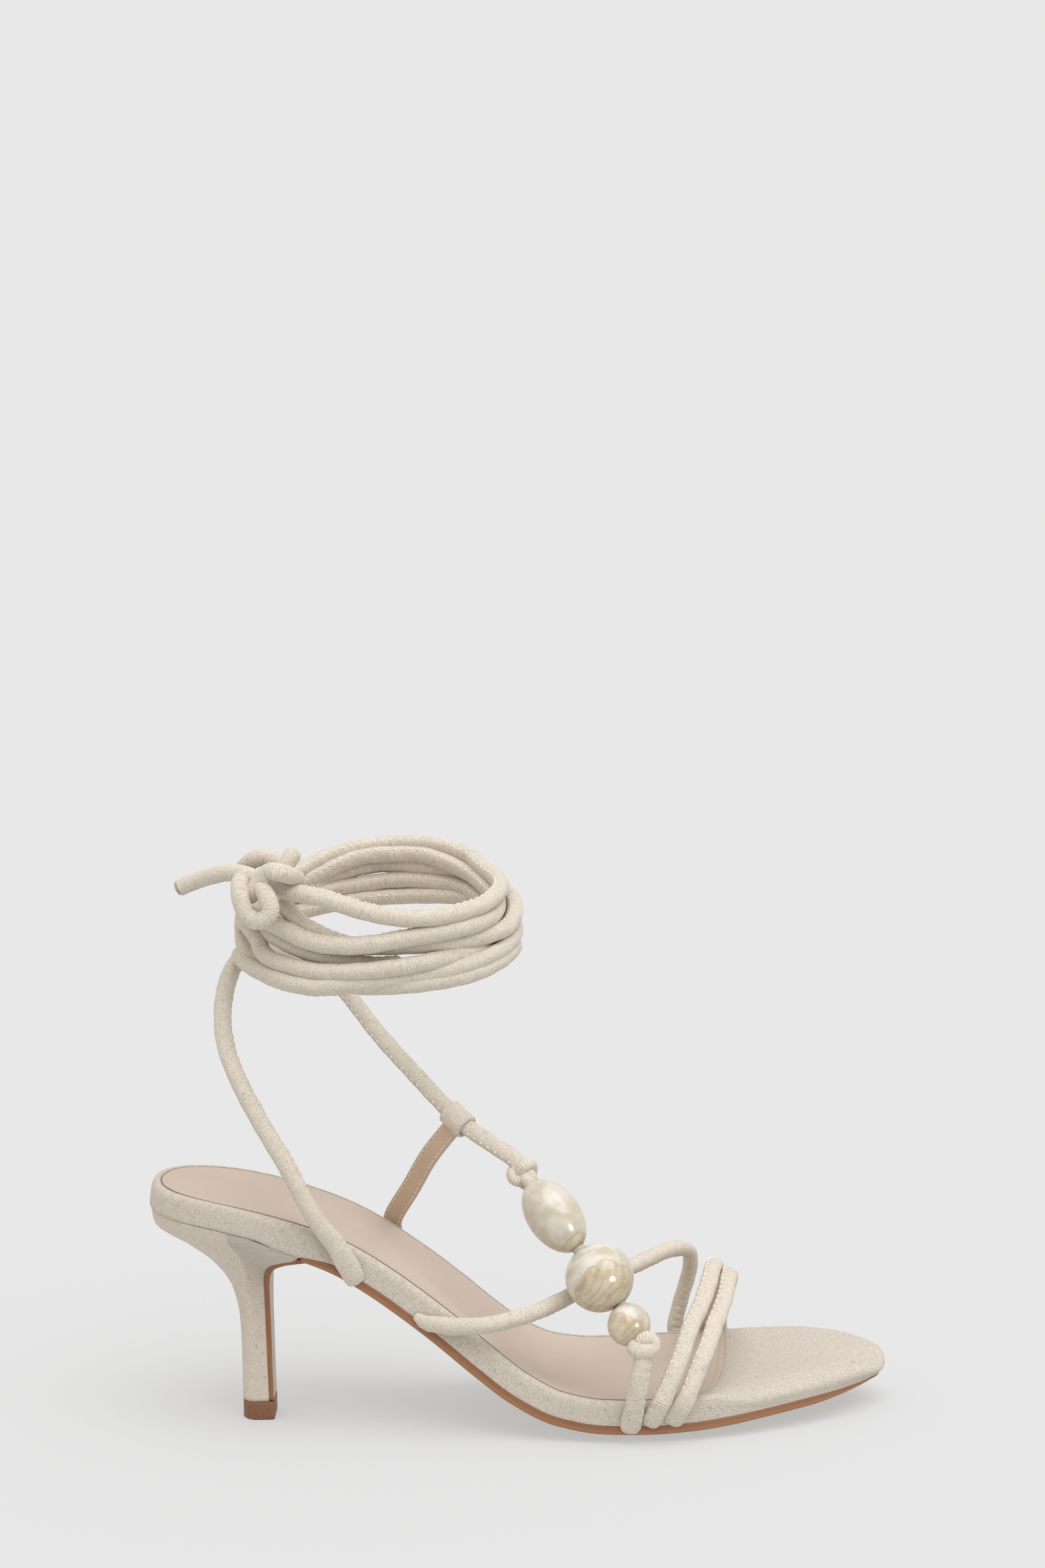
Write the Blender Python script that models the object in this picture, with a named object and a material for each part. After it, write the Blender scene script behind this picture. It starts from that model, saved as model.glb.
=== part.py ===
# A heeled lace-up sandal, right foot: sole, linen footbed, covered heel, cord straps, beads and ankle ties.
# Sizes are in millimetres in the tables and turned to metres once, in the function point.
# Along the shoe x runs from the back of the heel seat to the toe, y from the outer side to the inner, z up.
import math
import bpy
import bmesh
from collections import namedtuple
from mathutils import Vector

NAME = "heeled_lace_up_sandal"

# Driving dimensions
MM = 0.001
ORIGIN_X = 116.8
ORIGIN_Y = 0.01
GAP = 0.3
FOOTBED_THICK = 8.4
RIM_ROUND = 2.4
OUTSOLE_THICK = 2.1
OUTSOLE_INSET = 0.4
OUTSOLE_BELLY = 0.8
FLAP_THICK = 1.4
INSOLE_THICK = 1.0
INSOLE_INSET = 2.7
INSOLE_SINK = 0.5
CORD = 2.7
CORD_IN_BEAD = 2.1
KNOT_CORE = 3.3
CORD_IN_SLOT = 0.9
END_TAPER = 0.7
TIP_HEIGHT = 6.0
SEAT_FRONT = 47.0
SLOT_WIDE = 4.0
SLOT_HIGH = 3.0
SLOT_DEEP = 7.5
LOOP_WALL = 1.2
LOOP_WIDE = 9.0
STRAP_WIDE = 5.6
STRAP_THICK = 1.5
SIDES = 2
OUTLINE_STEPS = 2

# The sole's stations: x, rim height on the outer side, extra rim height on the inner side,
# half widths of the outer and inner side, depth of the dish and the x that the top's rows run to
Station = namedtuple("Station", "x rim rise outer inner dish spine")
SOLE = [
    Station(-2.2, 79.1, 1.2, 0.0, 0.0, 2.2, 25.4),
    Station(-0.2, 78.8, 1.4, 10.8, 10.8, 2.2, 25.8),
    Station(4.5, 78.0, 1.6, 18.4, 18.4, 2.2, 26.5),
    Station(11.5, 76.9, 1.7, 23.6, 23.6, 2.2, 27.5),
    Station(21.5, 75.1, 1.8, 26.8, 26.8, 2.1, 30.0),
    Station(35.0, 71.8, 1.9, 28.0, 28.0, 1.8, 37.0),
    Station(50.0, 66.9, 2.1, 27.6, 27.2, 1.4, 51.0),
    Station(62.0, 61.7, 2.4, 27.0, 26.2, 1.2, 62.5),
    Station(74.0, 54.2, 2.8, 26.8, 25.8, 1.2, 74.0),
    Station(86.0, 45.4, 3.0, 27.0, 26.0, 1.3, 86.0),
    Station(97.0, 36.9, 2.6, 28.4, 27.2, 1.5, 97.0),
    Station(108.0, 28.0, 1.8, 30.6, 29.6, 1.8, 107.0),
    Station(119.0, 20.2, 1.0, 33.6, 33.0, 2.3, 118.0),
    Station(130.0, 15.4, 0.5, 36.8, 36.8, 2.8, 129.0),
    Station(142.0, 13.7, 0.2, 39.2, 39.6, 3.2, 141.0),
    Station(155.0, 13.5, 0.0, 39.9, 41.4, 3.2, 154.0),
    Station(168.0, 13.9, 0.0, 38.9, 41.7, 3.1, 166.0),
    Station(181.0, 14.8, 0.2, 35.8, 40.3, 2.8, 177.0),
    Station(194.0, 15.9, 0.6, 30.6, 37.0, 2.5, 186.0),
    Station(206.0, 16.9, 1.0, 25.2, 32.8, 2.2, 192.0),
    Station(217.0, 17.5, 1.2, 19.2, 27.6, 2.0, 196.0),
    Station(226.0, 17.8, 1.2, 12.4, 21.4, 1.8, 198.0),
    Station(231.6, 17.9, 1.0, 6.4, 15.6, 1.8, 199.2),
    Station(235.2, 17.9, 0.9, 1.6, 10.6, 1.8, 200.0),
    Station(236.6, 17.9, 0.8, -4.6, 4.6, 1.8, 200.5),
]

# The insole's front edge, from the outer side to the inner side
Edge = namedtuple("Edge", "x y")
INSOLE_FRONT = [Edge(172.0, -50.0), Edge(172.3, -35.0), Edge(178.5, -11.0), Edge(184.5, 14.0), Edge(187.2, 31.0),
                Edge(188.0, 50.0)]

# The heel's sections: height, back, front face and half width
Level = namedtuple("Level", "z back front half")
HEEL = [
    Level(6.3, 25.7, 34.6, 6.3),
    Level(14.0, 25.6, 34.4, 6.3),
    Level(24.0, 25.5, 34.2, 6.4),
    Level(33.0, 25.1, 34.0, 6.8),
    Level(39.0, 24.1, 33.9, 7.8),
    Level(44.0, 22.6, 34.0, 9.5),
    Level(48.0, 20.2, 34.8, 12.2),
    Level(51.5, 17.2, 36.8, 15.8),
    Level(54.5, 13.8, 39.4, 20.0),
    Level(57.0, 10.6, 43.6, 23.8),
    Level(59.5, 7.0, 46.4, 25.4),
    Level(62.5, 2.2, 47.0, 26.6),
    Level(65.5, -1.2, 47.0, 27.2),
    Level(70.0, -2.0, 47.0, 27.4),
    Level(76.0, -2.0, 47.0, 27.4),
]
TIP_BACK = 25.7
TIP_FRONT = 36.2
TIP_HALF = 6.5

# The outsole's flap on the heel's front face, and the stations where it runs into the sole under the waist
Row = namedtuple("Row", "x z half")
FLAP = [
    Row(35.7, 6.4, 6.2),
    Row(35.5, 14.0, 6.2),
    Row(35.3, 24.0, 6.3),
    Row(35.1, 33.0, 6.6),
    Row(35.0, 39.0, 7.5),
    Row(35.1, 44.0, 9.2),
    Row(35.8, 48.0, 11.6),
    Row(37.5, 51.3, 15.4),
    Row(40.6, 54.0, 20.0),
]
FLAP_RUN = [Edge(49.6, 26.0), Edge(54.5, 26.4), Edge(59.0, 25.6)]

# Where cords and the loop strap are tucked between footbed and outsole: station x and side
Tuck = namedtuple("Tuck", "x side")
TUCK_BACK_TIE = Tuck(69.5, -1)
TUCK_CROSS_OUTER = Tuck(90.0, -1)
TUCK_BEADS = Tuck(149.5, -1)
TUCK_REAR_OUTER = Tuck(155.6, -1)
TUCK_FRONT_OUTER = Tuck(163.2, -1)
TUCK_CROSS_INNER = Tuck(169.0, 1)
TUCK_REAR_INNER = Tuck(176.5, 1)
TUCK_FRONT_INNER = Tuck(183.6, 1)
TUCK_LOOP = Tuck(80.0, 1)
CORD_TUCKS = [TUCK_BACK_TIE, TUCK_CROSS_OUTER, TUCK_BEADS, TUCK_REAR_OUTER, TUCK_FRONT_OUTER, TUCK_CROSS_INNER,
              TUCK_REAR_INNER, TUCK_FRONT_INNER]

# The straps' centre lines between their tucks
Node = namedtuple("Node", "x y z")
TOE_REAR = [
    Node(157.9, -43.6, 12.9),
    Node(162.1, -41.0, 21.4),
    Node(165.3, -36.0, 27.1),
    Node(168.7, -29.0, 32.3),
    Node(172.6, -19.5, 37.2),
    Node(176.3, -8.0, 41.4),
    Node(179.3, 5.0, 43.4),
    Node(180.8, 16.0, 41.9),
    Node(180.8, 27.0, 37.0),
    Node(179.6, 36.0, 29.0),
    Node(178.0, 42.0, 20.0),
]
TOE_FRONT = [
    Node(166.8, -42.6, 15.3),
    Node(169.7, -39.5, 20.8),
    Node(173.0, -34.5, 26.5),
    Node(176.4, -27.5, 31.8),
    Node(180.2, -18.0, 36.7),
    Node(183.1, -7.0, 39.9),
    Node(185.4, 5.0, 40.6),
    Node(186.9, 15.0, 38.7),
    Node(187.3, 25.0, 34.3),
    Node(186.6, 34.0, 26.8),
    Node(185.2, 40.5, 18.5),
]
CROSS = [
    Node(91.0, -32.2, 37.4),
    Node(98.5, -33.4, 36.8),
    Node(107.1, -34.5, 37.4),
    Node(120.2, -29.5, 39.4),
    Node(131.3, -19.3, 41.5),
    Node(142.3, -10.8, 44.7),
    Node(154.1, -1.0, 47.0),
    Node(164.1, 10.0, 48.5),
    Node(170.4, 22.0, 46.9),
    Node(174.5, 31.0, 43.8),
    Node(175.7, 37.0, 38.6),
    Node(175.2, 41.0, 32.9),
    Node(172.8, 44.2, 23.6),
    Node(170.7, 45.0, 15.0),
]

# The bead cord: knots, and beads in turn, each from the place where it meets the last one to the next
KNOT_UPPER = Node(118.2, -10.0, 80.2)
Bead = namedtuple("Bead", "name start end radius")
STOPS = [Node(119.9, -13.7, 77.5), Node(135.1, -23.1, 57.7), Node(147.6, -30.9, 41.4), Node(152.4, -38.9, 31.4)]
BEADS = [
    Bead("bead_oval", STOPS[0], STOPS[1], 8.6),
    Bead("bead_round", STOPS[1], STOPS[2], 10.9),
    Bead("bead_small", STOPS[2], STOPS[3], 6.8),
]
KNOT_LOWER = Node(154.0, -41.4, 28.2)
BEAD_FOOT = [Node(153.4, -44.0, 23.6), Node(152.0, -44.8, 18.6), Node(150.6, -44.2, 12.6)]
BORE = CORD_IN_BEAD + GAP
Ring = namedtuple("Ring", "tilt shift reach cord")
KNOT = [Ring(10.0, 1.4, 2.9, 2.0), Ring(-11.0, -1.4, 2.8, 2.05)]

# The ties up to the ankle
FRONT_TIE_LOW = [Node(115.0, -7.5, 84.1), Node(106.6, -3.2, 89.2)]
LOOP_AT = Node(97.2, 4.0, 95.1)
FRONT_TIE_HIGH = [Node(83.6, 16.0, 107.7), Node(70.8, 27.0, 120.4)]
LOOP_REACH = 5.6
BACK_TIE = [
    Node(63.2, -30.8, 55.0),
    Node(56.7, -31.0, 63.5),
    Node(49.9, -31.0, 75.8),
    Node(43.7, -30.0, 87.2),
    Node(34.8, -26.5, 101.9),
    Node(27.9, -22.5, 114.6),
    Node(23.6, -16.5, 125.3),
    Node(22.7, -9.5, 136.9),
    Node(25.2, -0.5, 146.8),
]
LOOP_STRAP = [
    Node(75.2, 29.9, 49.5),
    Node(74.2, 29.6, 54.5),
    Node(75.6, 26.6, 59.5),
    Node(81.8, 19.6, 69.4),
    Node(88.7, 12.4, 81.4),
    Node(95.4, 5.6, 92.5),
]

# The wrap round the ankle: an ellipse, and each turn as angle, step out from the ellipse and height
WRAP_X = 72.6
WRAP_LONG = 43.6
WRAP_WIDE = 36.0
Turn = namedtuple("Turn", "angle out z")
FRONT_TIE_END = [Turn(112, -4, 137), Turn(130, -5, 145.5), Turn(150, -5.5, 150), Turn(170, -5, 152),
                 Turn(184, -3, 151.8), Turn(195, 0, 150.3), Turn(204, 1, 149)]
TURN_1 = [Turn(-130, 0, 173.9), Turn(-111, 0, 171.6), Turn(-94, 0, 167.7),
          Turn(-78, 0, 165.3), Turn(-61, 0, 165.3), Turn(-40, -1, 167.4), Turn(-21, -3, 170.0),
          Turn(0, -4, 171.8), Turn(20, -3, 173.6), Turn(37, -1.5, 177.1), Turn(48, 0, 180.6),
          Turn(62, 0, 183.6), Turn(76, 0, 184.6), Turn(89, 0, 184.1), Turn(102, 0, 182.6),
          Turn(116, 0, 179.5), Turn(130, -1, 175.8), Turn(152, -5, 174.5), Turn(180, -9, 175),
          Turn(205, -6, 176), Turn(221, -1, 176.8)]
TURN_2 = [Turn(-137, 0, 163), Turn(-117, 0, 158.1), Turn(-98, 0, 157), Turn(-78, 0, 158.9), Turn(-52, 0, 161.2),
          Turn(-29, -2, 163.6), Turn(0, -5, 166.8), Turn(25, -4, 169.6), Turn(46, -2, 173.9), Turn(67, -2, 179.1),
          Turn(82, -2, 180), Turn(102, -2, 178.6), Turn(126, -1, 172.2), Turn(150, 0, 169.5), Turn(180, 0, 166.8),
          Turn(205, 0, 164.6)]
TURN_3 = [Turn(-139, -1.5, 174.4), Turn(-129, -2.5, 168.2), Turn(-117, -4, 164.2), Turn(-104, -5, 160.1),
          Turn(-90, -5, 157.4), Turn(-78, -4.5, 156.3), Turn(-66, -3.5, 156.5), Turn(-52, -2.5, 156.7),
          Turn(-34, -1, 158), Turn(-17, 0, 159.8), Turn(0, 0.6, 164.2), Turn(20, 1, 168.8), Turn(40, 1.5, 172.5),
          Turn(57, 1.5, 174.6), Turn(85, 1.5, 176.6), Turn(98, 1.5, 176.4), Turn(111, 1, 174.4),
          Turn(124, 0, 171), Turn(150, -2, 168), Turn(180, -4, 165.5), Turn(203, -4, 162.3), Turn(217, -3, 159.1),
          Turn(230, -4, 155.9), Turn(243, -4.5, 153.2), Turn(256, -5, 151.3), Turn(270, -5, 150.2),
          Turn(283, -2.6, 150.6)]
TURN_4 = [Turn(-151, -0.5, 157.6), Turn(-145, 0, 153.8), Turn(-136, 0, 151.4), Turn(-116, 0, 149), Turn(-98, 0, 149),
          Turn(-79, 0, 150.3), Turn(-62, -1, 151.8), Turn(-41, -3, 153.2), Turn(-26, -5, 154.6), Turn(0, -5, 158),
          Turn(25, -3, 163.4), Turn(44, -1, 168), Turn(57, 0, 170.1), Turn(72, 0, 171.1), Turn(85, 0, 171.3),
          Turn(98, 0, 170.2), Turn(113, 0, 168.3), Turn(135, 0, 167), Turn(160, 0, 165), Turn(185, 0, 162.8),
          Turn(199, -0.5, 161)]
TURN_5 = [Turn(160, 1, 150.5), Turn(140, 0, 150), Turn(120, 0, 149.2), Turn(90, 0, 149.2), Turn(60, 0, 150.2),
          Turn(30, 0, 151.8), Turn(0, 0, 152.6), Turn(-24, 0, 149.9), Turn(-41, -0.5, 147.1), Turn(-56, -1.2, 145.4),
          Turn(-74, -2.2, 144.3), Turn(-93, -3.8, 143.9), Turn(-110, -4.5, 144.9), Turn(-127, -4, 146.4),
          Turn(-143, -2.5, 148), Turn(-158, -1, 150.6), Turn(-170, 0, 155), Turn(-180, 0.3, 160)]
TURN_6 = [Turn(183, 0.4, 158.6), Turn(176, 0.4, 160.8), Turn(165, 0, 162), Turn(150, 0, 162), Turn(126, 0, 161.6),
          Turn(105, 0, 163.3), Turn(81, 0, 164.5), Turn(57, 0, 164.7), Turn(41, 0.3, 164.2), Turn(20, 0.5, 161),
          Turn(0, 0.5, 157.4), Turn(-20, 0, 153.8), Turn(-36, 0, 151.4), Turn(-57, -1, 148.4), Turn(-83, -2, 146),
          Turn(-103, -0.5, 143.8), Turn(-116, 0.5, 143.1), Turn(-131, 0.8, 144.5), Turn(-148, 1.2, 147.6),
          Turn(-163, 1.5, 150.4), Turn(-176, 1.5, 151.6)]

# The bow behind the ankle
BOW_KNOT = [Node(38.8, -27.8, 175.4), Node(37.9, -30.3, 179.2), Node(39.4, -30.8, 182.2), Node(42.2, -29.8, 182.8),
            Node(44.6, -27.6, 181.2)]
BOW_LOOP_FRONT = [Node(37.6, -36.4, 175.8), Node(40.0, -37.0, 172.0), Node(41.2, -36.4, 168.6), Node(40.6, -34.6, 165.2),
                  Node(37.6, -33.2, 163.0), Node(34.0, -31.6, 163.8), Node(30.8, -29.8, 167.4),
                  Node(29.9, -29.6, 170.4), Node(31.6, -30.6, 173.4), Node(34.5, -32.3, 177.2)]
BOW_LOOP_REAR = [Node(40.2, -26.1, 185.2), Node(36.4, -23.6, 185.4), Node(32.6, -20.6, 183.2), Node(29.6, -18.6, 180.6),
                 Node(27.6, -16.4, 177.2), Node(26.4, -14.2, 173.4)]
BOW_END_LONG = [Node(35.4, -26.4, 178.6), Node(31.4, -26.2, 179.4), Node(26.6, -24.6, 179.6), Node(20.7, -21.6, 178.9),
                Node(14.6, -18.2, 176.6), Node(9.4, -15.2, 174.0)]
BOW_END_SHORT = [Node(43.4, -22.7, 181.7), Node(45.6, -22.3, 183.4), Node(48.0, -21.9, 185.4)]

# Colours read from the photo: linear red, green and blue, with roughness
Paint = namedtuple("Paint", "red green blue rough")
LINEN = Paint(0.66, 0.60, 0.50, 0.85)
TAN = Paint(0.36, 0.24, 0.16, 0.55)
BROWN = Paint(0.20, 0.12, 0.08, 0.5)
SOCK = Paint(0.62, 0.50, 0.42, 0.6)
RESIN = Paint(0.66, 0.60, 0.46, 0.25)


def clear_scene():
    for item in list(bpy.data.objects):
        bpy.data.objects.remove(item, do_unlink=True)


def new_collection(name):
    group = bpy.data.collections.new(name)
    bpy.context.scene.collection.children.link(group)
    return group


clear_scene()
PARTS = new_collection(NAME)
CUTTERS = new_collection("cutters")


def point(x, y, z):
    return Vector(((x - ORIGIN_X) * MM, (y - ORIGIN_Y) * MM, z * MM))


def hermite(rows, name, key, at):
    """A column of a table as a smooth function of its key column, without overshoot."""
    keys = [getattr(row, key) for row in rows]
    values = [getattr(row, name) for row in rows]
    last = len(rows) - 1
    if at <= keys[0]:
        slope = (values[1] - values[0]) / (keys[1] - keys[0])
        return values[0] + slope * (at - keys[0])
    if at >= keys[last]:
        slope = (values[last] - values[last - 1]) / (keys[last] - keys[last - 1])
        return values[last] + slope * (at - keys[last])
    low = max(i for i in range(last) if keys[i] <= at)
    step = keys[low + 1] - keys[low]
    share = (at - keys[low]) / step

    def slope_at(i):
        if i == 0 or i == last:
            near = min(i, last - 1)
            return (values[near + 1] - values[near]) / (keys[near + 1] - keys[near])
        before = (values[i] - values[i - 1]) / (keys[i] - keys[i - 1])
        after = (values[i + 1] - values[i]) / (keys[i + 1] - keys[i])
        if before * after <= 0.0:
            return 0.0
        return 2.0 * before * after / (before + after)

    first = slope_at(low)
    second = slope_at(low + 1)
    square = share * share
    cube = square * share
    return ((2 * cube - 3 * square + 1) * values[low] + (cube - 2 * square + share) * step * first
            + (3 * square - 2 * cube) * values[low + 1] + (cube - square) * step * second)


def spline(values, share):
    """A uniform cubic through four values, share of the way from the second to the third."""
    before, first, second, after = values
    return 0.5 * (2 * first + (second - before) * share
                  + (2 * before - 5 * first + 4 * second - after) * share ** 2
                  + (3 * first - before - 3 * second + after) * share ** 3)


def sole_normal(x):
    """Which way is up from the sole at a station, leaning with the arch."""
    slope = (hermite(SOLE, "rim", "x", x + 1.0) - hermite(SOLE, "rim", "x", x - 1.0)) / 2.0
    size = math.hypot(1.0, slope)
    return -slope / size, 1.0 / size


def across(x, y):
    """Minus one at the sole's outer edge, plus one at the inner edge."""
    outer = hermite(SOLE, "outer", "x", x)
    inner = hermite(SOLE, "inner", "x", x)
    half = max((outer + inner) / 2.0, 6.0)
    return max(-1.0, min(1.0, (y - (inner - outer) / 2.0) / half))


def sole_point(x, y, up, share):
    """A place over the sole: up is measured square to it, share runs from the rim to the middle line."""
    lean_x, lean_z = sole_normal(x)
    dish = hermite(SOLE, "dish", "x", x) * (1.0 - (1.0 - min(share, 1.0)) ** 2)
    rise = hermite(SOLE, "rise", "x", x) * (0.5 + 0.5 * across(x, y))
    lift = up - dish + rise
    return Vector((x + lift * lean_x, y, hermite(SOLE, "rim", "x", x) + lift * lean_z))


def outline():
    """The sole's edge as a closed loop, each place with the point of the middle line its row runs to."""
    count = len(SOLE)
    places = []
    for side, column in ((-1, "outer"), (1, "inner")):
        run = []
        for i in range(count - 1):
            for step in range(OUTLINE_STEPS):
                share = step / OUTLINE_STEPS
                rows = [SOLE[max(i - 1, 0)], SOLE[i], SOLE[i + 1], SOLE[min(i + 2, count - 1)]]
                xs = [row.x for row in rows]
                ys = [side * getattr(row, column) for row in rows]
                spines = [row.spine for row in rows]
                if i == 0:
                    ys[0] = -ys[2]
                    xs[0] = xs[2]
                if i == count - 2:
                    ys[3] = 2 * ys[2] - ys[1]
                    xs[3] = xs[1]
                run.append((spline(xs, share), spline(ys, share), spline(spines, share)))
        tip = SOLE[-1]
        run.append((tip.x, side * getattr(tip, column), tip.spine))
        places.append(run)
    loop = places[0] + list(reversed(places[1]))[1:-1]
    return loop


OUTLINE = outline()


def middle_y(x):
    return (hermite(SOLE, "inner", "x", x) - hermite(SOLE, "outer", "x", x)) / 2.0


def sole_ring(inset, up, share=None):
    """One closed row of places round the sole, at an inset from the edge or a share of the way in."""
    row = []
    for x, y, spine in OUTLINE:
        centre_y = middle_y(spine)
        reach = math.hypot(spine - x, centre_y - y)
        part = inset / reach if share is None else share
        row.append(sole_point(x + (spine - x) * part, y + (centre_y - y) * part, up, max(part, 0.0)))
    return row


def to_object(name, bm, group=PARTS):
    bmesh.ops.remove_doubles(bm, verts=bm.verts, dist=0.00002)
    bmesh.ops.dissolve_degenerate(bm, dist=0.000005, edges=bm.edges)
    bmesh.ops.recalc_face_normals(bm, faces=bm.faces)
    mesh = bpy.data.meshes.new(name)
    bm.to_mesh(mesh)
    bm.free()
    item = bpy.data.objects.new(name, mesh)
    group.objects.link(item)
    if group is CUTTERS:
        item.hide_render = True
        item.display_type = "WIRE"
    return item


def loft(name, rows, group=PARTS, closed_ends=True):
    """Faces between closed rows of points, given in millimetres, with both end rows filled."""
    bm = bmesh.new()
    rings = [[bm.verts.new(point(*place)) for place in row] for row in rows]
    for low, high in zip(rings, rings[1:]):
        count = len(low)
        for i in range(count):
            j = (i + 1) % count
            bm.faces.new((low[i], low[j], high[j], high[i]))
    if closed_ends:
        bm.faces.new(list(reversed(rings[0])))
        bm.faces.new(rings[-1])
    return to_object(name, bm, group)


def shell(name, rim, group=PARTS, belly=0.0):
    """A sole-shaped solid from its rim profile, inset and up pairs from the top edge round to the bottom edge.

    A belly makes it thicker under the middle, and flat where it stands on the floor.
    """
    rows = []
    top_up = rim[0][1]
    low_up = rim[-1][1]
    shares = (1.0, 0.5)
    for share in shares:
        rows.append(sole_ring(0.0, top_up, share))
    for inset, up in rim:
        rows.append(sole_ring(inset, up))
    for share in reversed(shares):
        rows.append(sole_ring(0.0, low_up - belly, share))
    if belly:
        rows = [[Vector((p.x, p.y, max(p.z, 0.0))) for p in row] for row in rows]
    return loft(name, rows, group, closed_ends=False)


def prism(name, corners, low, high, group=CUTTERS):
    """An upright solid over a plan outline."""
    return loft(name, [[(c.x, c.y, low) for c in corners], [(c.x, c.y, high) for c in corners]], group)


def cut(item, cutter, kind="DIFFERENCE"):
    """Cut or join with an exact Boolean and keep the result as plain mesh."""
    change = item.modifiers.new("change", "BOOLEAN")
    change.operation = kind
    change.solver = "EXACT"
    change.object = cutter
    bpy.context.view_layer.update()
    graph = bpy.context.evaluated_depsgraph_get()
    mesh = bpy.data.meshes.new_from_object(item.evaluated_get(graph))
    item.modifiers.clear()
    item.data = mesh
    bpy.data.objects.remove(cutter, do_unlink=True)
    bm = bmesh.new()
    bm.from_mesh(mesh)
    bmesh.ops.remove_doubles(bm, verts=bm.verts, dist=0.000005)
    bmesh.ops.dissolve_degenerate(bm, dist=0.000005, edges=bm.edges)
    bm.to_mesh(mesh)
    bm.free()
    return item


def one_body(item):
    """Keep the largest connected shell and remove slivers that a Boolean leaves beside it or inside it."""
    bm = bmesh.new()
    bm.from_mesh(item.data)
    left = set(bm.faces)
    shells = []
    while left:
        todo = [left.pop()]
        group = list(todo)
        while todo:
            for edge in todo.pop().edges:
                for face in edge.link_faces:
                    if face in left:
                        left.discard(face)
                        group.append(face)
                        todo.append(face)
        shells.append(group)
    shells.sort(key=len)
    for group in shells[:-1]:
        bmesh.ops.delete(bm, geom=group, context="FACES")
    bm.to_mesh(item.data)
    bm.free()
    return item


def paint(item, colour):
    material = bpy.data.materials.new(item.name)
    material.use_nodes = True
    shader = material.node_tree.nodes["Principled BSDF"]
    shader.inputs["Base Color"].default_value = (colour.red, colour.green, colour.blue, 1.0)
    shader.inputs["Roughness"].default_value = colour.rough
    item.data.materials.clear()
    item.data.materials.append(material)
    return item


def even_path(places, spacing, closed=False):
    """The smooth curve through places, as points an even step apart."""
    count = len(places)
    spans = count if closed else count - 1
    fine = []
    for i in range(spans):
        if closed:
            near = [places[(i + k) % count] for k in (-1, 0, 1, 2)]
        else:
            near = [places[max(i - 1, 0)], places[i], places[i + 1], places[min(i + 2, count - 1)]]
        for step in range(12):
            share = step / 12
            fine.append(Vector([spline([p[axis] for p in near], share) for axis in range(3)]))
    fine.append(Vector(places[0] if closed else places[-1]))
    total = sum((b - a).length for a, b in zip(fine, fine[1:]))
    pieces = max(2, round(total / spacing))
    step = total / pieces
    even = [fine[0]]
    done = 0.0
    goal = step
    for a, b in zip(fine, fine[1:]):
        size = (b - a).length
        while size > 0.0 and done + size >= goal - 1e-9 and len(even) < pieces:
            even.append(a.lerp(b, (goal - done) / size))
            goal += step
        done += size
    if not closed:
        even.append(fine[-1])
    return even


def cord(name, places, radii, closed=False, group=PARTS, sides=SIDES):
    """A round cord along places, with a radius at each, as a bevelled curve turned to mesh."""
    curve = bpy.data.curves.new(name, "CURVE")
    curve.dimensions = "3D"
    curve.bevel_depth = MM
    curve.bevel_resolution = sides
    curve.use_fill_caps = True
    line = curve.splines.new("POLY")
    line.points.add(len(places) - 1)
    for knot, place, radius in zip(line.points, places, radii):
        knot.co = point(*place).to_4d()
        knot.radius = radius
    line.use_cyclic_u = closed
    source = bpy.data.objects.new(name + "_curve", curve)
    CUTTERS.objects.link(source)
    bpy.context.view_layer.update()
    graph = bpy.context.evaluated_depsgraph_get()
    mesh = bpy.data.meshes.new_from_object(source.evaluated_get(graph))
    bm = bmesh.new()
    bm.from_mesh(mesh)
    bmesh.ops.transform(bm, matrix=source.matrix_world, verts=bm.verts)
    bpy.data.objects.remove(source, do_unlink=True)
    return to_object(name, bm, group)


def tuck(place):
    """A cord's last points under the footbed's edge, from the outside in, with their radii."""
    edge = hermite(SOLE, "outer" if place.side < 0 else "inner", "x", place.x)
    low = -FOOTBED_THICK
    steps = ((edge + CORD + 3 * GAP, low + 3.2, CORD - 0.2), (edge + 1.5, low + 1.4, 1.1),
             (edge - 0.8, low + 1.3, CORD_IN_SLOT), (edge - 6.4, low + 1.3, CORD_IN_SLOT))
    places = []
    for y, up, radius in steps:
        reach = max(0.0, (edge - y) / edge)
        places.append((sole_point(place.x, place.side * y, up, reach), radius))
    return places


def strap(name, start, rows, end, spacing=2.1 * 2 * CORD):
    """A cord strap from one tuck over the foot to another."""
    head = list(reversed(tuck(start)))
    tail = tuck(end)
    free = even_path([head[-1][0]] + [Vector(row) for row in rows] + [tail[0][0]], spacing)
    places = [p for p, r in head[:-1]] + free + [p for p, r in tail[1:]]
    radii = [r for p, r in head[:-1]] + [CORD] * len(free) + [r for p, r in tail[1:]]
    radii[len(head) - 1] = head[-1][1]
    radii[len(head) - 1 + len(free) - 1] = tail[0][1]
    return paint(cord(name, places, radii), LINEN)


def wrap_place(turn):
    angle = math.radians(turn.angle)
    return Vector((WRAP_X + (WRAP_LONG + turn.out) * math.cos(angle), (WRAP_WIDE + turn.out) * math.sin(angle), turn.z))


def check_order():
    """Every table of stations runs forward."""
    for rows, key in ((SOLE, "x"), (HEEL, "z")):
        for first, second in zip(rows, rows[1:]):
            assert getattr(first, key) < getattr(second, key)


# Footbed, with a sunk seat for the insole and slots for the tucked ends
def insole_cut(grow):
    """The space ahead of the insole's front edge, moved ahead by grow."""
    corners = [Edge(row.x + grow, row.y) for row in INSOLE_FRONT] + [Edge(260.0, 50.0), Edge(260.0, -50.0)]
    return prism("insole_front", corners, -10.0, 60.0)


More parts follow.
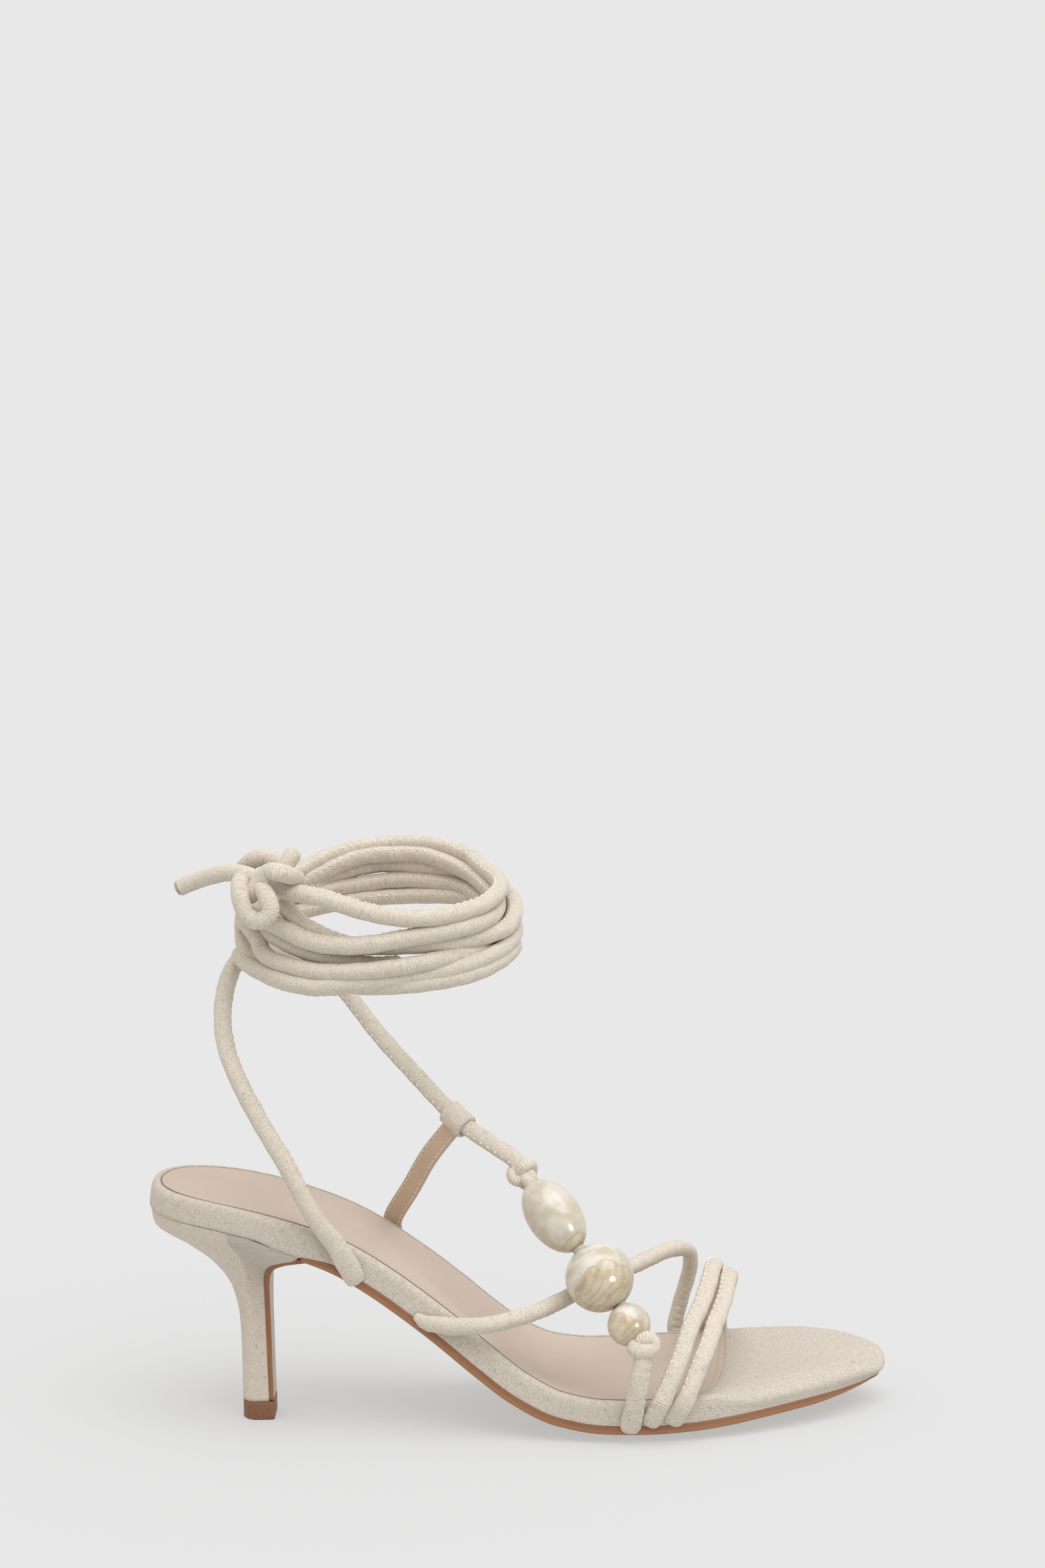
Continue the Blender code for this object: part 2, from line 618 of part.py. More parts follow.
def slot_box(name, place, wide, deep):
    """A box under the footbed's edge for one tucked end."""
    edge = hermite(SOLE, "outer" if place.side < 0 else "inner", "x", place.x)
    rows = []
    for y in (edge + 3.0, edge - deep):
        reach = max(0.0, (edge - y) / edge)
        row = []
        for along, up in ((-wide / 2, -FOOTBED_THICK - 1.2), (wide / 2, -FOOTBED_THICK - 1.2),
                          (wide / 2, -FOOTBED_THICK + SLOT_HIGH), (-wide / 2, -FOOTBED_THICK + SLOT_HIGH)):
            row.append(sole_point(place.x + along, place.side * y, up, reach))
        rows.append(row)
    return loft(name, rows, CUTTERS)


def footbed():
    top = -FOOTBED_THICK
    rim = [(RIM_ROUND + 1.5, -0.35), (RIM_ROUND, -0.05), (1.1, -0.35), (0.25, -1.4), (0.0, -3.2), (0.1, top + 1.6),
           (1.0, top)]
    body = shell("footbed", rim)
    seat = shell("seat", [(INSOLE_INSET - GAP, 4.0), (INSOLE_INSET - GAP, -INSOLE_SINK - INSOLE_THICK - GAP)], CUTTERS)
    cut(seat, insole_cut(GAP))
    cut(body, seat)
    for place in CORD_TUCKS:
        cut(body, slot_box("slot", place, SLOT_WIDE, SLOT_DEEP))
    cut(body, slot_box("slot", TUCK_LOOP, STRAP_WIDE + 1.4, SLOT_DEEP))
    return paint(body, LINEN)


def insole():
    low = -INSOLE_SINK - INSOLE_THICK
    body = shell("insole", [(INSOLE_INSET + 0.3, -INSOLE_SINK), (INSOLE_INSET, -INSOLE_SINK - 0.3), (INSOLE_INSET, low)])
    cut(body, insole_cut(0.0))
    return paint(body, SOCK)


def flap_rows(grow):
    """The flap's rows from the heel's foot up to the waist, each face moved out by grow."""
    shares = [k / 2 - 1.0 for k in range(5)]
    half = FLAP_THICK / 2 + grow
    rows = []
    for before, row, after in zip([FLAP[0]] + FLAP, FLAP, FLAP[1:] + [FLAP[-1]]):
        lean = math.atan2(after.z - before.z, after.x - before.x)
        step_x = math.sin(lean) * half
        step_z = -math.cos(lean) * half
        side = row.half + 4 * grow
        rows.append([(row.x - step_x, k * side, row.z - step_z) for k in shares]
                    + [(row.x + step_x, k * side, row.z + step_z) for k in reversed(shares)])
    middle = -FOOTBED_THICK - GAP - OUTSOLE_THICK / 2
    for row in FLAP_RUN:
        side = row.y + 4 * grow
        rows.append([sole_point(row.x, k * side, middle + half, 1.0 - abs(k)) for k in shares]
                    + [sole_point(row.x, k * side, middle - half, 1.0 - abs(k)) for k in reversed(shares)])
    return rows


def outsole():
    top = -FOOTBED_THICK - GAP
    rim = [(OUTSOLE_INSET, top), (OUTSOLE_INSET, top - OUTSOLE_THICK + 0.5), (OUTSOLE_INSET + 0.5, top - OUTSOLE_THICK)]
    sheet = shell("outsole", rim, belly=OUTSOLE_BELLY)
    back = [Edge(-40.0, -60.0), Edge(SEAT_FRONT + GAP, -60.0), Edge(SEAT_FRONT + GAP, 60.0), Edge(-40.0, 60.0)]
    cut(sheet, prism("behind", back, -10.0, 120.0))
    cut(sheet, loft("flap", flap_rows(0.0), CUTTERS), "UNION")
    return paint(sheet, TAN)


def heel():
    rows = []
    for level in HEEL:
        depth = level.front - level.back
        widest = level.back + 0.55 * depth
        row = []
        steps = 14
        for i in range(steps + 1):
            angle = math.pi * (i / steps - 0.5)
            row.append((widest - (widest - level.back) * math.cos(angle) ** 0.9,
                        level.half * math.sin(angle), level.z))
        row.append((level.front - 0.08 * depth, 0.985 * level.half, level.z))
        row.append((level.front, 0.93 * level.half, level.z))
        row.append((level.front, -0.93 * level.half, level.z))
        row.append((level.front - 0.08 * depth, -0.985 * level.half, level.z))
        rows.append(row)
    body = loft("heel", rows)
    cut(body, loft("flap_room", flap_rows(GAP), CUTTERS))
    over = shell("over", [(-4.0, 30.0), (-4.0, -FOOTBED_THICK - GAP)], CUTTERS)
    cut(body, over)
    return paint(one_body(body), LINEN)


def heel_tip():
    depth = TIP_FRONT - TIP_BACK
    plan = []
    for i in range(13):
        angle = math.pi * (i / 12 - 0.5)
        plan.append((TIP_BACK + 0.5 * depth - 0.5 * depth * math.cos(angle), TIP_HALF * math.sin(angle)))
    plan += [(TIP_FRONT - 0.6, TIP_HALF), (TIP_FRONT, TIP_HALF - 0.6), (TIP_FRONT, 0.6 - TIP_HALF),
             (TIP_FRONT - 0.6, -TIP_HALF)]
    body = loft("heel_tip", [[(x, y, z) for x, y in plan] for z in (0.0, TIP_HEIGHT)])
    return paint(body, BROWN)


# Beads and their cord
def bead_axis(row):
    return (Vector(row.end) - Vector(row.start)).normalized()


def bead(row):
    """A turned bead between its two stops, with a bore along its axis."""
    axis = bead_axis(row)
    side = axis.orthogonal().normalized()
    other = axis.cross(side)
    centre = Vector(row.start).lerp(Vector(row.end), 0.5)
    half = ((Vector(row.end) - Vector(row.start)).length - GAP) / 2
    steps = 8
    limit = math.acos((BORE + 0.35) / row.radius)
    profile = []
    for i in range(steps + 1):
        angle = limit * (2 * i / steps - 1)
        profile.append((half * math.sin(angle), row.radius * math.cos(angle)))
    ends = half * math.sin(limit) - 0.35
    profile.append((ends, BORE))
    profile.append((-ends, BORE))
    rows = []
    for along, away in profile + profile[:1]:
        rows.append([centre + axis * along + (side * math.cos(turn) + other * math.sin(turn)) * away
                     for turn in [2 * math.pi * k / 16 for k in range(16)]])
    body = loft(row.name, rows, closed_ends=False)
    return paint(body, RESIN)


def tie_knot(body, centre, axis):
    """Join a knot to its cord: turns of the cord round itself, as tilted rings."""
    side = axis.orthogonal().normalized()
    other = axis.cross(side)
    for row in KNOT:
        lean = math.radians(row.tilt)
        second = other * math.cos(lean) + axis * math.sin(lean)
        places = []
        for i in range(12):
            angle = 2 * math.pi * (i + row.shift) / 12
            places.append(centre + axis * row.shift + (side * math.cos(angle) + second * math.sin(angle)) * row.reach)
        cut(body, cord("knot_ring", places, [row.cord] * len(places), True, CUTTERS), "UNION")


def bead_cord():
    """The cord from inside the first bead through the others and the lower knot to its tuck."""
    axis = bead_axis(BEADS[0])
    inside = Vector(STOPS[0]).lerp(Vector(STOPS[1]), 0.5) + axis * GAP
    tail = tuck(TUCK_BEADS)
    thin = [inside] + [Vector(stop) for stop in STOPS[1:]]
    thick = [Vector(KNOT_LOWER)] + [Vector(row) for row in BEAD_FOOT]
    places = thin + thick + [p for p, r in tail]
    radii = [CORD_IN_BEAD] * len(thin) + [KNOT_CORE] + [CORD] * len(BEAD_FOOT) + [r for p, r in tail]
    body = cord("bead_cord", places, radii)
    tie_knot(body, Vector(KNOT_LOWER), bead_axis(BEADS[-1]))
    return paint(one_body(body), LINEN)


# The ankle ties, joined where they cross
def ankle_wrap():
    spacing = 2.1 * 2 * CORD
    tail = list(reversed(tuck(TUCK_BACK_TIE)))
    rise = even_path([tail[-1][0]] + [Vector(row) for row in BACK_TIE] + [wrap_place(row) for row in TURN_5], spacing)
    places = [p for p, r in tail[:-1]] + rise
    radii = [r for p, r in tail] + [CORD] * (len(rise) - 2) + [CORD - END_TAPER]
    body = cord("ankle_wrap", places, radii)
    axis = bead_axis(BEADS[0])
    inside = [Vector(STOPS[0]).lerp(Vector(STOPS[1]), 0.5) - axis * GAP, Vector(STOPS[0])]
    ring_at, run = loop_ring()
    low = even_path([Vector(KNOT_UPPER)] + [Vector(row) for row in FRONT_TIE_LOW] + [ring_at - run * LOOP_REACH], spacing)
    high = even_path([ring_at + run * LOOP_REACH] + [Vector(row) for row in FRONT_TIE_HIGH]
                     + [wrap_place(row) for row in FRONT_TIE_END], spacing)
    radii = [CORD_IN_BEAD] * 2 + [KNOT_CORE] + [CORD] * (len(low + high) - 2) + [CORD - END_TAPER]
    tie = cord("front_tie", inside + low + high, radii, group=CUTTERS)
    tie_knot(tie, Vector(KNOT_UPPER), axis)
    cut(body, tie, "UNION")
    for number, rows in enumerate((TURN_6, TURN_1, TURN_2, TURN_3, TURN_4)):
        closed = rows in (TURN_1, TURN_2, TURN_4)
        ring = even_path([wrap_place(row) for row in rows], spacing, closed)
        radii = [CORD + 0.01 * number] * len(ring)
        if not closed:
            radii[0] = CORD - END_TAPER
            radii[-1] = CORD - END_TAPER
        cut(body, cord("turn", ring, radii, closed, CUTTERS), "UNION")
    return paint(one_body(body), LINEN)


def loop_ring():
    """Where the band sits on the front tie, and the way the tie runs through it."""
    return Vector(LOOP_AT), (Vector(FRONT_TIE_HIGH[0]) - Vector(FRONT_TIE_LOW[-1])).normalized()


def loop_strap():
    """A flat strap from the inner side, with a band round the front tie."""
    low = -FOOTBED_THICK
    edge = hermite(SOLE, "inner", "x", TUCK_LOOP.x)
    inside = [sole_point(TUCK_LOOP.x, y, up, max(0.0, (edge - y) / edge))
              for y, up in ((edge - 6.2, low + 1.2), (edge + 0.4, low + 1.25), (edge + 2.8, low + 2.6))]
    path = inside + even_path([Vector(row) for row in LOOP_STRAP], 5.0)
    ring_at, axis = loop_ring()
    lean_x, lean_z = sole_normal(TUCK_LOOP.x)
    level = Vector((lean_z, 0.0, -lean_x))
    rows = []
    for i, place in enumerate(path):
        before = path[max(i - 1, 0)]
        after = path[min(i + 1, len(path) - 1)]
        along = (after - before).normalized()
        share = max(0.0, min(1.0, (i - 3) / (len(path) - 4)))
        wide = level.lerp(-axis, share)
        wide = (wide - along * wide.dot(along)).normalized()
        thick = along.cross(wide)
        rows.append([place + wide * (a * STRAP_WIDE / 2) + thick * (b * STRAP_THICK / 2)
                     for a, b in ((-1, -1), (1, -1), (1, 1), (-1, 1))])
    body = loft("loop_strap", rows)
    side = axis.orthogonal().normalized()
    other = axis.cross(side)
    inner = CORD + GAP
    profile = [(-LOOP_WIDE / 2, inner), (-LOOP_WIDE / 2, inner + LOOP_WALL), (LOOP_WIDE / 2, inner + LOOP_WALL),
               (LOOP_WIDE / 2, inner), (-LOOP_WIDE / 2, inner)]
    band = [[ring_at + axis * along + (side * math.cos(turn) + other * math.sin(turn)) * away
             for turn in [2 * math.pi * k / 16 for k in range(16)]] for along, away in profile]
    cut(body, loft("band", band, CUTTERS, closed_ends=False), "UNION")
    return paint(body, LINEN)


def bow():
    for name, rows in (("bow_knot", BOW_KNOT), ("bow_loop_front", BOW_LOOP_FRONT), ("bow_loop_rear", BOW_LOOP_REAR),
                       ("bow_end_long", BOW_END_LONG), ("bow_end_short", BOW_END_SHORT)):
        places = even_path([Vector(row) for row in rows], 4.5)
        paint(cord(name, places, [CORD - 0.2] * len(places)), LINEN)


check_order()
outsole()
footbed()
insole()
heel()
heel_tip()
strap("toe_strap_front", TUCK_FRONT_OUTER, TOE_FRONT, TUCK_FRONT_INNER)
strap("toe_strap_rear", TUCK_REAR_OUTER, TOE_REAR, TUCK_REAR_INNER)
strap("cross_strap", TUCK_CROSS_OUTER, CROSS, TUCK_CROSS_INNER)
for row in BEADS:
    bead(row)
bead_cord()
ankle_wrap()
loop_strap()
bow()
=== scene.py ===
# The looks of a heeled lace-up sandal, right foot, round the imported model.
# Tables are in millimetres: x runs from the back of the heel seat to the toe, y to the inner side, z up.
import math
from bisect import bisect
from collections import namedtuple

import bmesh
import bpy
import numpy as np
from mathutils import Matrix, Vector


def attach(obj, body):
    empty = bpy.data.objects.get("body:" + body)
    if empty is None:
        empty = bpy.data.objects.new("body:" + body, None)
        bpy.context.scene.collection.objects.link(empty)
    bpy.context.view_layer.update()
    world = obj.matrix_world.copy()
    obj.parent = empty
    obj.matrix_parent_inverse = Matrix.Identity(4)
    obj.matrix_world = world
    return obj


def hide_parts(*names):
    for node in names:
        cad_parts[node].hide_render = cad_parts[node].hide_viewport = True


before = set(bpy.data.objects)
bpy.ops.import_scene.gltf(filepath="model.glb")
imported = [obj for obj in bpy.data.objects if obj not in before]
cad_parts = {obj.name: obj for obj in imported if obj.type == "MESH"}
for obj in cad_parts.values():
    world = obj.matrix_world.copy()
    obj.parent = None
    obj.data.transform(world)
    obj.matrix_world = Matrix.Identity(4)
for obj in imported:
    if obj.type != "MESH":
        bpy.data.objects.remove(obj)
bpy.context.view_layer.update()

MM = 0.001
WELD = 0.000004
ORIGIN = np.array((116.8, 0.01, 0.0))
UP = np.array((0.0, 0.0, 1.0))
SIDEWAYS = np.array((0.0, 1.0, 0.0))

# Sizes of sole, sock and heel
GAP = 0.3
FOOTBED_THICK = 8.4
OUTSOLE_THICK = 2.1
OUTSOLE_LIP = 0.6
OUTSOLE_BELLY = 0.8
FLAP_THICK = 1.4
FLAP_SNUG = 0.35
SEAT_FRONT = 47.0
SOCK_INSET = 2.95
SOCK_THICK = 0.8
SOCK_MIDDLE = 140.0
SOCK_EDGE = 0.27
SOCK_EDGE_FAR = 0.05
TIP_HEIGHT = 6.0

# The footbed's side, as steps in from the edge with heights from its top and then from its underside
RIM_UPPER = [(2.4, -0.05), (1.75, -0.12), (1.1, -0.35), (0.55, -0.85), (0.25, -1.4), (0.08, -2.2),
             (0.0, -3.2)]
RIM_LOWER = [(0.02, 2.0), (0.05, 1.0), (0.22, 0.35), (0.7, 0.0)]
RIM_STEPS = 26
# The groove beside the sock: steps in from the edge and depths
GROOVE = [(3.0, 0.82), (2.8, 0.82), (2.66, 0.5084), (2.55, 0.164)]
# Rows over the footbed's top and underside, as shares of the way to the middle line
TOP_SHARES = (1.0, 0.93, 0.85, 0.76, 0.67, 0.58, 0.49, 0.41, 0.34, 0.28, 0.24, 0.21, 0.185, 0.16, 0.14, 0.12)
UNDER_SHARES = (0.3, 0.65, 1.0)
# Stations up to which the linen's ribs stand square to the edge, on each side
BELT_OUTER = 163.5
BELT_INNER = 183.0
# The linen under the sock: how deep it lies, how far it rises ahead of the sock, and over which stretches
LINEN_SUNK = 0.9
LINEN_RISE = 0.8
LINEN_STEP = (-5.0, -3.0)
BARE_STEP = (-1.6, 0.2)
RIM_SUNK = 0.08
UNDERCUT_FROM = -3.0

# The sock's edge and top: steps in from its outline with heights, then shares of the way that is left
SOCK_RIM = [(0.0, -SOCK_THICK), (0.0, -0.42), (0.08, -0.2), (0.26, -0.05), (0.5, 0.0), (0.9, 0.02),
            (1.4, 0.02), (1.9, 0.02), (2.2, 0.0), (2.45, 0.0), (2.7, 0.0), (2.95, 0.0), (3.2, 0.02),
            (3.8, 0.02), (4.8, 0.02), (6.5, 0.02)]
SOCK_PARTS = (0.1, 0.2, 0.32, 0.45, 0.58, 0.72, 0.86, 1.0)
# The line pressed behind the sock's front edge: depth, distance from the edge and width
PRESSED_DEEP = 0.2
PRESSED_AT = 2.55
PRESSED_WIDE = 0.38
# How far the sock rises towards its front edge, and where its dark cut edge, partly painted shade of the
# crevice beside it, is full
SOCK_LIFT = 0.42
SOCK_LIFT_STEP = (-9.0, -5.0)
EDGE_SIDES = 8
EDGE_SUNK = 0.1
EDGE_NEAR = (-16.0, -4.0)
EDGE_FRONT = (-6.0, -1.0)

# The outsole's edge, as steps in with heights from its lip and then from its underside, and its rows below
SHEET_LIP = [(0.5, -0.1), (0.22, 0.0), (0.08, -0.1), (0.05, -0.35), (0.08, -1.0), (0.14, -1.7)]
SHEET_FOOT = [(0.25, 0.4), (0.45, 0.16), (0.75, 0.04), (1.3, 0.0)]
SHEET_SHARES = (0.1, 0.2, 0.32, 0.46, 0.62, 0.8, 1.0)
SHEET_WELD = 0.00002

# The toe: its start and tip, and how far its edge rolls over, its tip sinks and the sole under it
# gets thinner
TOE_REACH = (205.0, 237.0)
TOE_SIDES = (-10.0, 6.0)
ROLL_START = (172.0, 192.0)
ROLL_NEAR = 3.8
ROLL_FAR = 0.5
ROLL_TIP = 0.8
ROLL_TIP_LESS = 0.45
ROLL_REACH = 15.0
SINK = 2.4
SINK_START = (214.0, 238.0)
SINK_PACE = 2.4
SINK_FAR = 0.35
SINK_REACH = (3.0, 24.0)
TOE_UNDERCUT = 1.6
TOE_THINNER = 0.75

# Cords: half thicknesses, and the gathered seam with its stitches' length and thickness
CORD = 2.7
CROSS_CORD = 2.55
WRAP_CORD = 2.8
BOW_LOOP_CORD = 2.85
BOW_REAR_CORD = 2.8
BOW_TAIL_CORD = 2.65
BOW_KNOT_CORD = 2.8
BEAD_CORD = 2.1
UPPER_KNOT_CORD = 2.05
LOWER_KNOT_CORD = 2.5
KNOT_NECK = 2.2
CORD_SIDES = 24
CORD_STEP = 0.46
KNOT_STEP = 0.4
BOW_STEP = 0.45
BOW_PUCKER = 0.16
CURVE_STEPS = 24
PUCKER_PITCH = 2.85
PUCKER_HIGH = 0.44
PUCKER_SLANT = 1.2
RIDGE_WIDE = 0.46
HOLLOW_AT = 0.95
HOLLOW_WIDE = 0.3
HOLLOW_DEEP = 0.2
STITCH = (1.5, 0.55)
STITCH_PROUD = 0.13
STITCH_LEAN = 0.5
STITCH_TURN = 0.1
# A stitch from end to end: share of its half length and of its thickness
STITCH_FORM = [(-1.0, 0.25), (-0.8, 0.75), (-0.35, 1.0), (0.0, 1.05), (0.35, 1.0), (0.8, 0.75), (1.0, 0.25)]
STITCH_SIDES = 6
STITCH_SAG = 0.75

# The loop strap and its band
LOOP_WALL = 1.2
LOOP_WIDE = 9.0
STRAP_WIDE = 6.6
STRAP_STEP = 0.8
STRAP_FLAT_ROWS = 12
STRAP_STITCH = (1.25, 0.34)
STRAP_STITCH_PITCH = 1.95
STRAP_STITCH_START = 10.0
STRAP_STITCH_INSET = 0.9
STRAP_STITCH_UP = 0.76
STRAP_FOOT = [(-2.6, 0.8), (0.4, 0.9)]
BAND_SIDES = 48

# The beads' bore, its softened mouth, and their sides
BORE = 2.4
MOUTH = 0.35
BEAD_SIDES = 64
BEAD_ROWS = 24

# The sole's stations: x, rim height on the outer side, extra rim height on the inner side,
# half widths of the outer and inner side, depth of the dish and the x that the top's rows run to
Station = namedtuple("Station", "x rim rise outer inner dish spine")
SOLE = [
    Station(-2.2, 79.1, 1.2, 0.0, 0.0, 2.2, 25.4),
    Station(-0.2, 78.8, 1.4, 10.8, 10.8, 2.2, 25.8),
    Station(4.5, 78.0, 1.6, 18.4, 18.4, 2.2, 26.5),
    Station(11.5, 76.9, 1.7, 23.6, 23.6, 2.2, 27.5),
    Station(21.5, 75.1, 1.8, 26.8, 26.8, 2.1, 30.0),
    Station(35.0, 71.8, 1.9, 28.0, 28.0, 1.8, 37.0),
    Station(50.0, 66.9, 2.1, 27.6, 27.2, 1.4, 51.0),
    Station(62.0, 61.7, 2.4, 27.0, 26.2, 1.2, 62.5),
    Station(74.0, 54.2, 2.8, 26.8, 25.8, 1.2, 74.0),
    Station(86.0, 45.4, 3.0, 27.0, 26.0, 1.3, 86.0),
    Station(97.0, 36.9, 2.6, 28.4, 27.2, 1.5, 97.0),
    Station(108.0, 28.0, 1.8, 30.6, 29.6, 1.8, 107.0),
    Station(119.0, 20.2, 1.0, 33.6, 33.0, 2.3, 118.0),
    Station(130.0, 15.4, 0.5, 36.8, 36.8, 2.8, 129.0),
    Station(142.0, 13.7, 0.2, 39.2, 39.6, 3.2, 141.0),
    Station(155.0, 13.5, 0.0, 39.9, 41.4, 3.2, 154.0),
    Station(168.0, 13.9, 0.0, 38.9, 41.7, 3.1, 166.0),
    Station(181.0, 14.8, 0.2, 35.8, 40.3, 2.8, 177.0),
    Station(194.0, 15.9, 0.6, 30.6, 37.0, 2.5, 186.0),
    Station(206.0, 16.9, 1.0, 25.2, 32.8, 2.2, 192.0),
    Station(217.0, 17.5, 1.2, 19.2, 27.6, 2.0, 196.0),
    Station(226.0, 17.8, 1.2, 12.4, 21.4, 1.8, 198.0),
    Station(231.6, 17.9, 1.0, 6.4, 15.6, 1.8, 199.2),
    Station(235.2, 17.9, 0.9, 1.6, 10.6, 1.8, 200.0),
    Station(236.6, 17.9, 0.8, -4.6, 4.6, 1.8, 200.5),
]

# The sock's front edge, from the outer side to the inner side
Edge = namedtuple("Edge", "x y")
SOCK_FRONT = [Edge(168.6, -44.0), Edge(170.4, -38.4), Edge(175.4, -30.0), Edge(178.2, -21.7),
              Edge(180.8, -10.7), Edge(182.8, 0.8), Edge(184.7, 13.9), Edge(186.6, 30.6), Edge(187.4, 50.0)]

# The heel's stem: height, back, front face and half width
Level = namedtuple("Level", "z back front half")
HEEL = [
    Level(6.0, 25.7, 34.6, 6.3),
    Level(14.0, 25.6, 34.4, 6.3),
    Level(24.0, 25.5, 34.2, 6.4),
    Level(33.0, 25.1, 34.0, 6.8),
    Level(39.0, 24.1, 33.9, 7.8),
    Level(44.0, 22.6, 34.0, 9.5),
]

# How the stem flares into the seat at the back and at the front: share of the height and of the way out
Flare = namedtuple("Flare", "high out")
FLARE_BACK = [Flare(0.0, 0.0), Flare(0.15, 0.1), Flare(0.28, 0.22), Flare(0.4, 0.36), Flare(0.49, 0.49),
              Flare(0.585, 0.63), Flare(0.7, 0.83), Flare(0.81, 0.965), Flare(1.0, 1.0)]
FLARE_FRONT = [Flare(0.0, 0.0), Flare(0.35, 0.05), Flare(0.55, 0.2), Flare(0.74, 0.56), Flare(0.86, 0.84),
               Flare(1.0, 1.0)]
SEAT_MIDDLE = 25.4
SEAT_END = 50.4
SEAT_INSET = 0.55
SEAT_DROP = 0.03
HEEL_ROUND = 27.6
# A heel section: how far forward it is widest, how full its back is, its sides as shares forward and of
# the half width, and its front face
HEEL_WIDEST = 0.55
HEEL_FULL = 0.9
HEEL_SIDE = [(0.3, 1.0), (0.6, 0.995), (0.82, 0.99), (0.93, 0.98), (0.985, 0.96), (1.0, 0.92)]
HEEL_FACE = (0.6, 0.3, 0.0, -0.3, -0.6)
# The column at the back of a heel section, and the turn of the heel's threads in degrees
HEEL_MIDDLE = 18
HEEL_BIAS = 62.0
# How far the footbed's lower edge is drawn down where heel and waist meet, over which stretch, and which part
# of the edge's height comes down
WAIST_DEEP = 1.4
WAIST_AT = 47.5
WAIST_FLAT = 2.0
WAIST_REACH = 14.0
WAIST_FROM = (4.5, 8.2)
WAIST_TO = (8.8, 10.8)
TIP_BACK = 25.7
TIP_FRONT = 36.2
TIP_HALF = 6.5
# The top piece's front corner as steps back and in, and its edges as height and inset
TIP_CORNER = [(0.9, 0.0), (0.45, 0.12), (0.12, 0.45), (0.0, 0.9)]
TIP_LEVELS = [(0.0, 0.16), (0.05, 0.05), (0.15, 0.0), (2.0, 0.0), (4.0, 0.0), (5.85, 0.0), (5.95, 0.05),
              (TIP_HEIGHT, 0.16)]

# The outsole's flap on the heel's front face, and the stations where it runs into the sole under the waist
Row = namedtuple("Row", "x z half")
FLAP = [
    Row(35.7, 6.4, 6.2),
    Row(35.5, 14.0, 6.2),
    Row(35.3, 24.0, 6.3),
    Row(35.1, 33.0, 6.6),
    Row(35.0, 39.0, 7.5),
    Row(35.0, 44.0, 9.2),
    Row(35.5, 48.2, 10.7),
    Row(37.2, 51.2, 13.4),
    Row(41.2, 53.7, 18.6),
    Row(45.4, 55.4, 23.6),
]
FLAP_RUN = (52.6, 55.0, 58.0)
FLAP_STEP = 0.9
FLAP_INSET = 0.38
FLAP_PROUD = 0.03

# Where cords are tucked between footbed and outsole: station x and side
Tuck = namedtuple("Tuck", "x side")
TUCK_CROSS_INNER = Tuck(169.0, 1)
TUCK_REAR_INNER = Tuck(176.5, 1)
TUCK_FRONT_INNER = Tuck(183.6, 1)
TUCK_LOOP = Tuck(80.0, 1)

# A tucked end from above down over the outsole's top edge: step out from the footbed's edge, height over its
# underside, and the cord's half width and half thickness there
TUCKED = [(2.6, 6.0, 2.8, 2.4), (2.25, 3.6, 2.95, 2.15), (1.9, 1.8, 3.0, 1.9), (1.5, 0.5, 2.75, 1.6),
          (1.15, -0.4, 2.1, 1.2), (0.9, -1.0, 1.1, 0.6)]
TUCK_LEAN = 0.3
PLAIN_END = 12.0
CROSS_PLAIN = 62.0

# Flattened ends that lie along the sole's outer side, from their tips upwards: place, half width and
# half thickness
TIE_TONGUE = [(65.1, -27.5, 48.9, 2.0, 0.5), (64.4, -27.9, 50.3, 2.9, 1.0), (63.4, -28.5, 52.7, 3.3, 1.3),
              (61.6, -29.2, 56.3, 3.35, 1.6), (58.1, -29.9, 62.7, 3.15, 2.0), (53.8, -30.6, 68.5, 2.85, 2.4)]
CROSS_TONGUE = [(82.6, -27.3, 38.9, 0.8, 0.4), (83.6, -27.8, 38.2, 1.5, 0.9), (86.7, -28.9, 36.7, 2.4, 1.5),
                (91.8, -30.4, 36.2, 2.75, 2.0), (97.0, -31.9, 36.1, 2.8, 2.5)]
REAR_TONGUE = [(155.3, -40.0, 5.5, 1.2, 0.5), (155.6, -40.3, 6.1, 2.2, 1.0), (156.3, -40.8, 7.5, 2.9, 1.5),
               (157.2, -41.3, 9.3, 3.0, 1.9), (158.5, -41.9, 12.0, 3.0, 2.2),
               (159.9, -42.4, 15.0, 2.95, 2.4)]
FRONT_TONGUE = [(161.9, -39.1, 5.7, 1.4, 0.5), (162.3, -39.4, 6.4, 2.6, 1.0), (163.1, -39.8, 7.8, 3.4, 1.5),
                (164.4, -40.4, 9.9, 3.4, 1.9), (166.3, -41.2, 13.1, 3.1, 2.3)]
BEAD_TONGUE = [(149.3, -39.9, 3.4, 1.4, 0.5), (149.4, -40.2, 4.2, 2.6, 1.0), (149.6, -40.7, 5.8, 3.2, 1.4),
               (150.0, -41.3, 8.0, 3.3, 1.7), (150.6, -42.2, 11.0, 3.2, 2.0), (151.4, -43.2, 15.5, 3.0, 2.4),
               (152.8, -43.7, 24.0, 2.75, 2.6)]

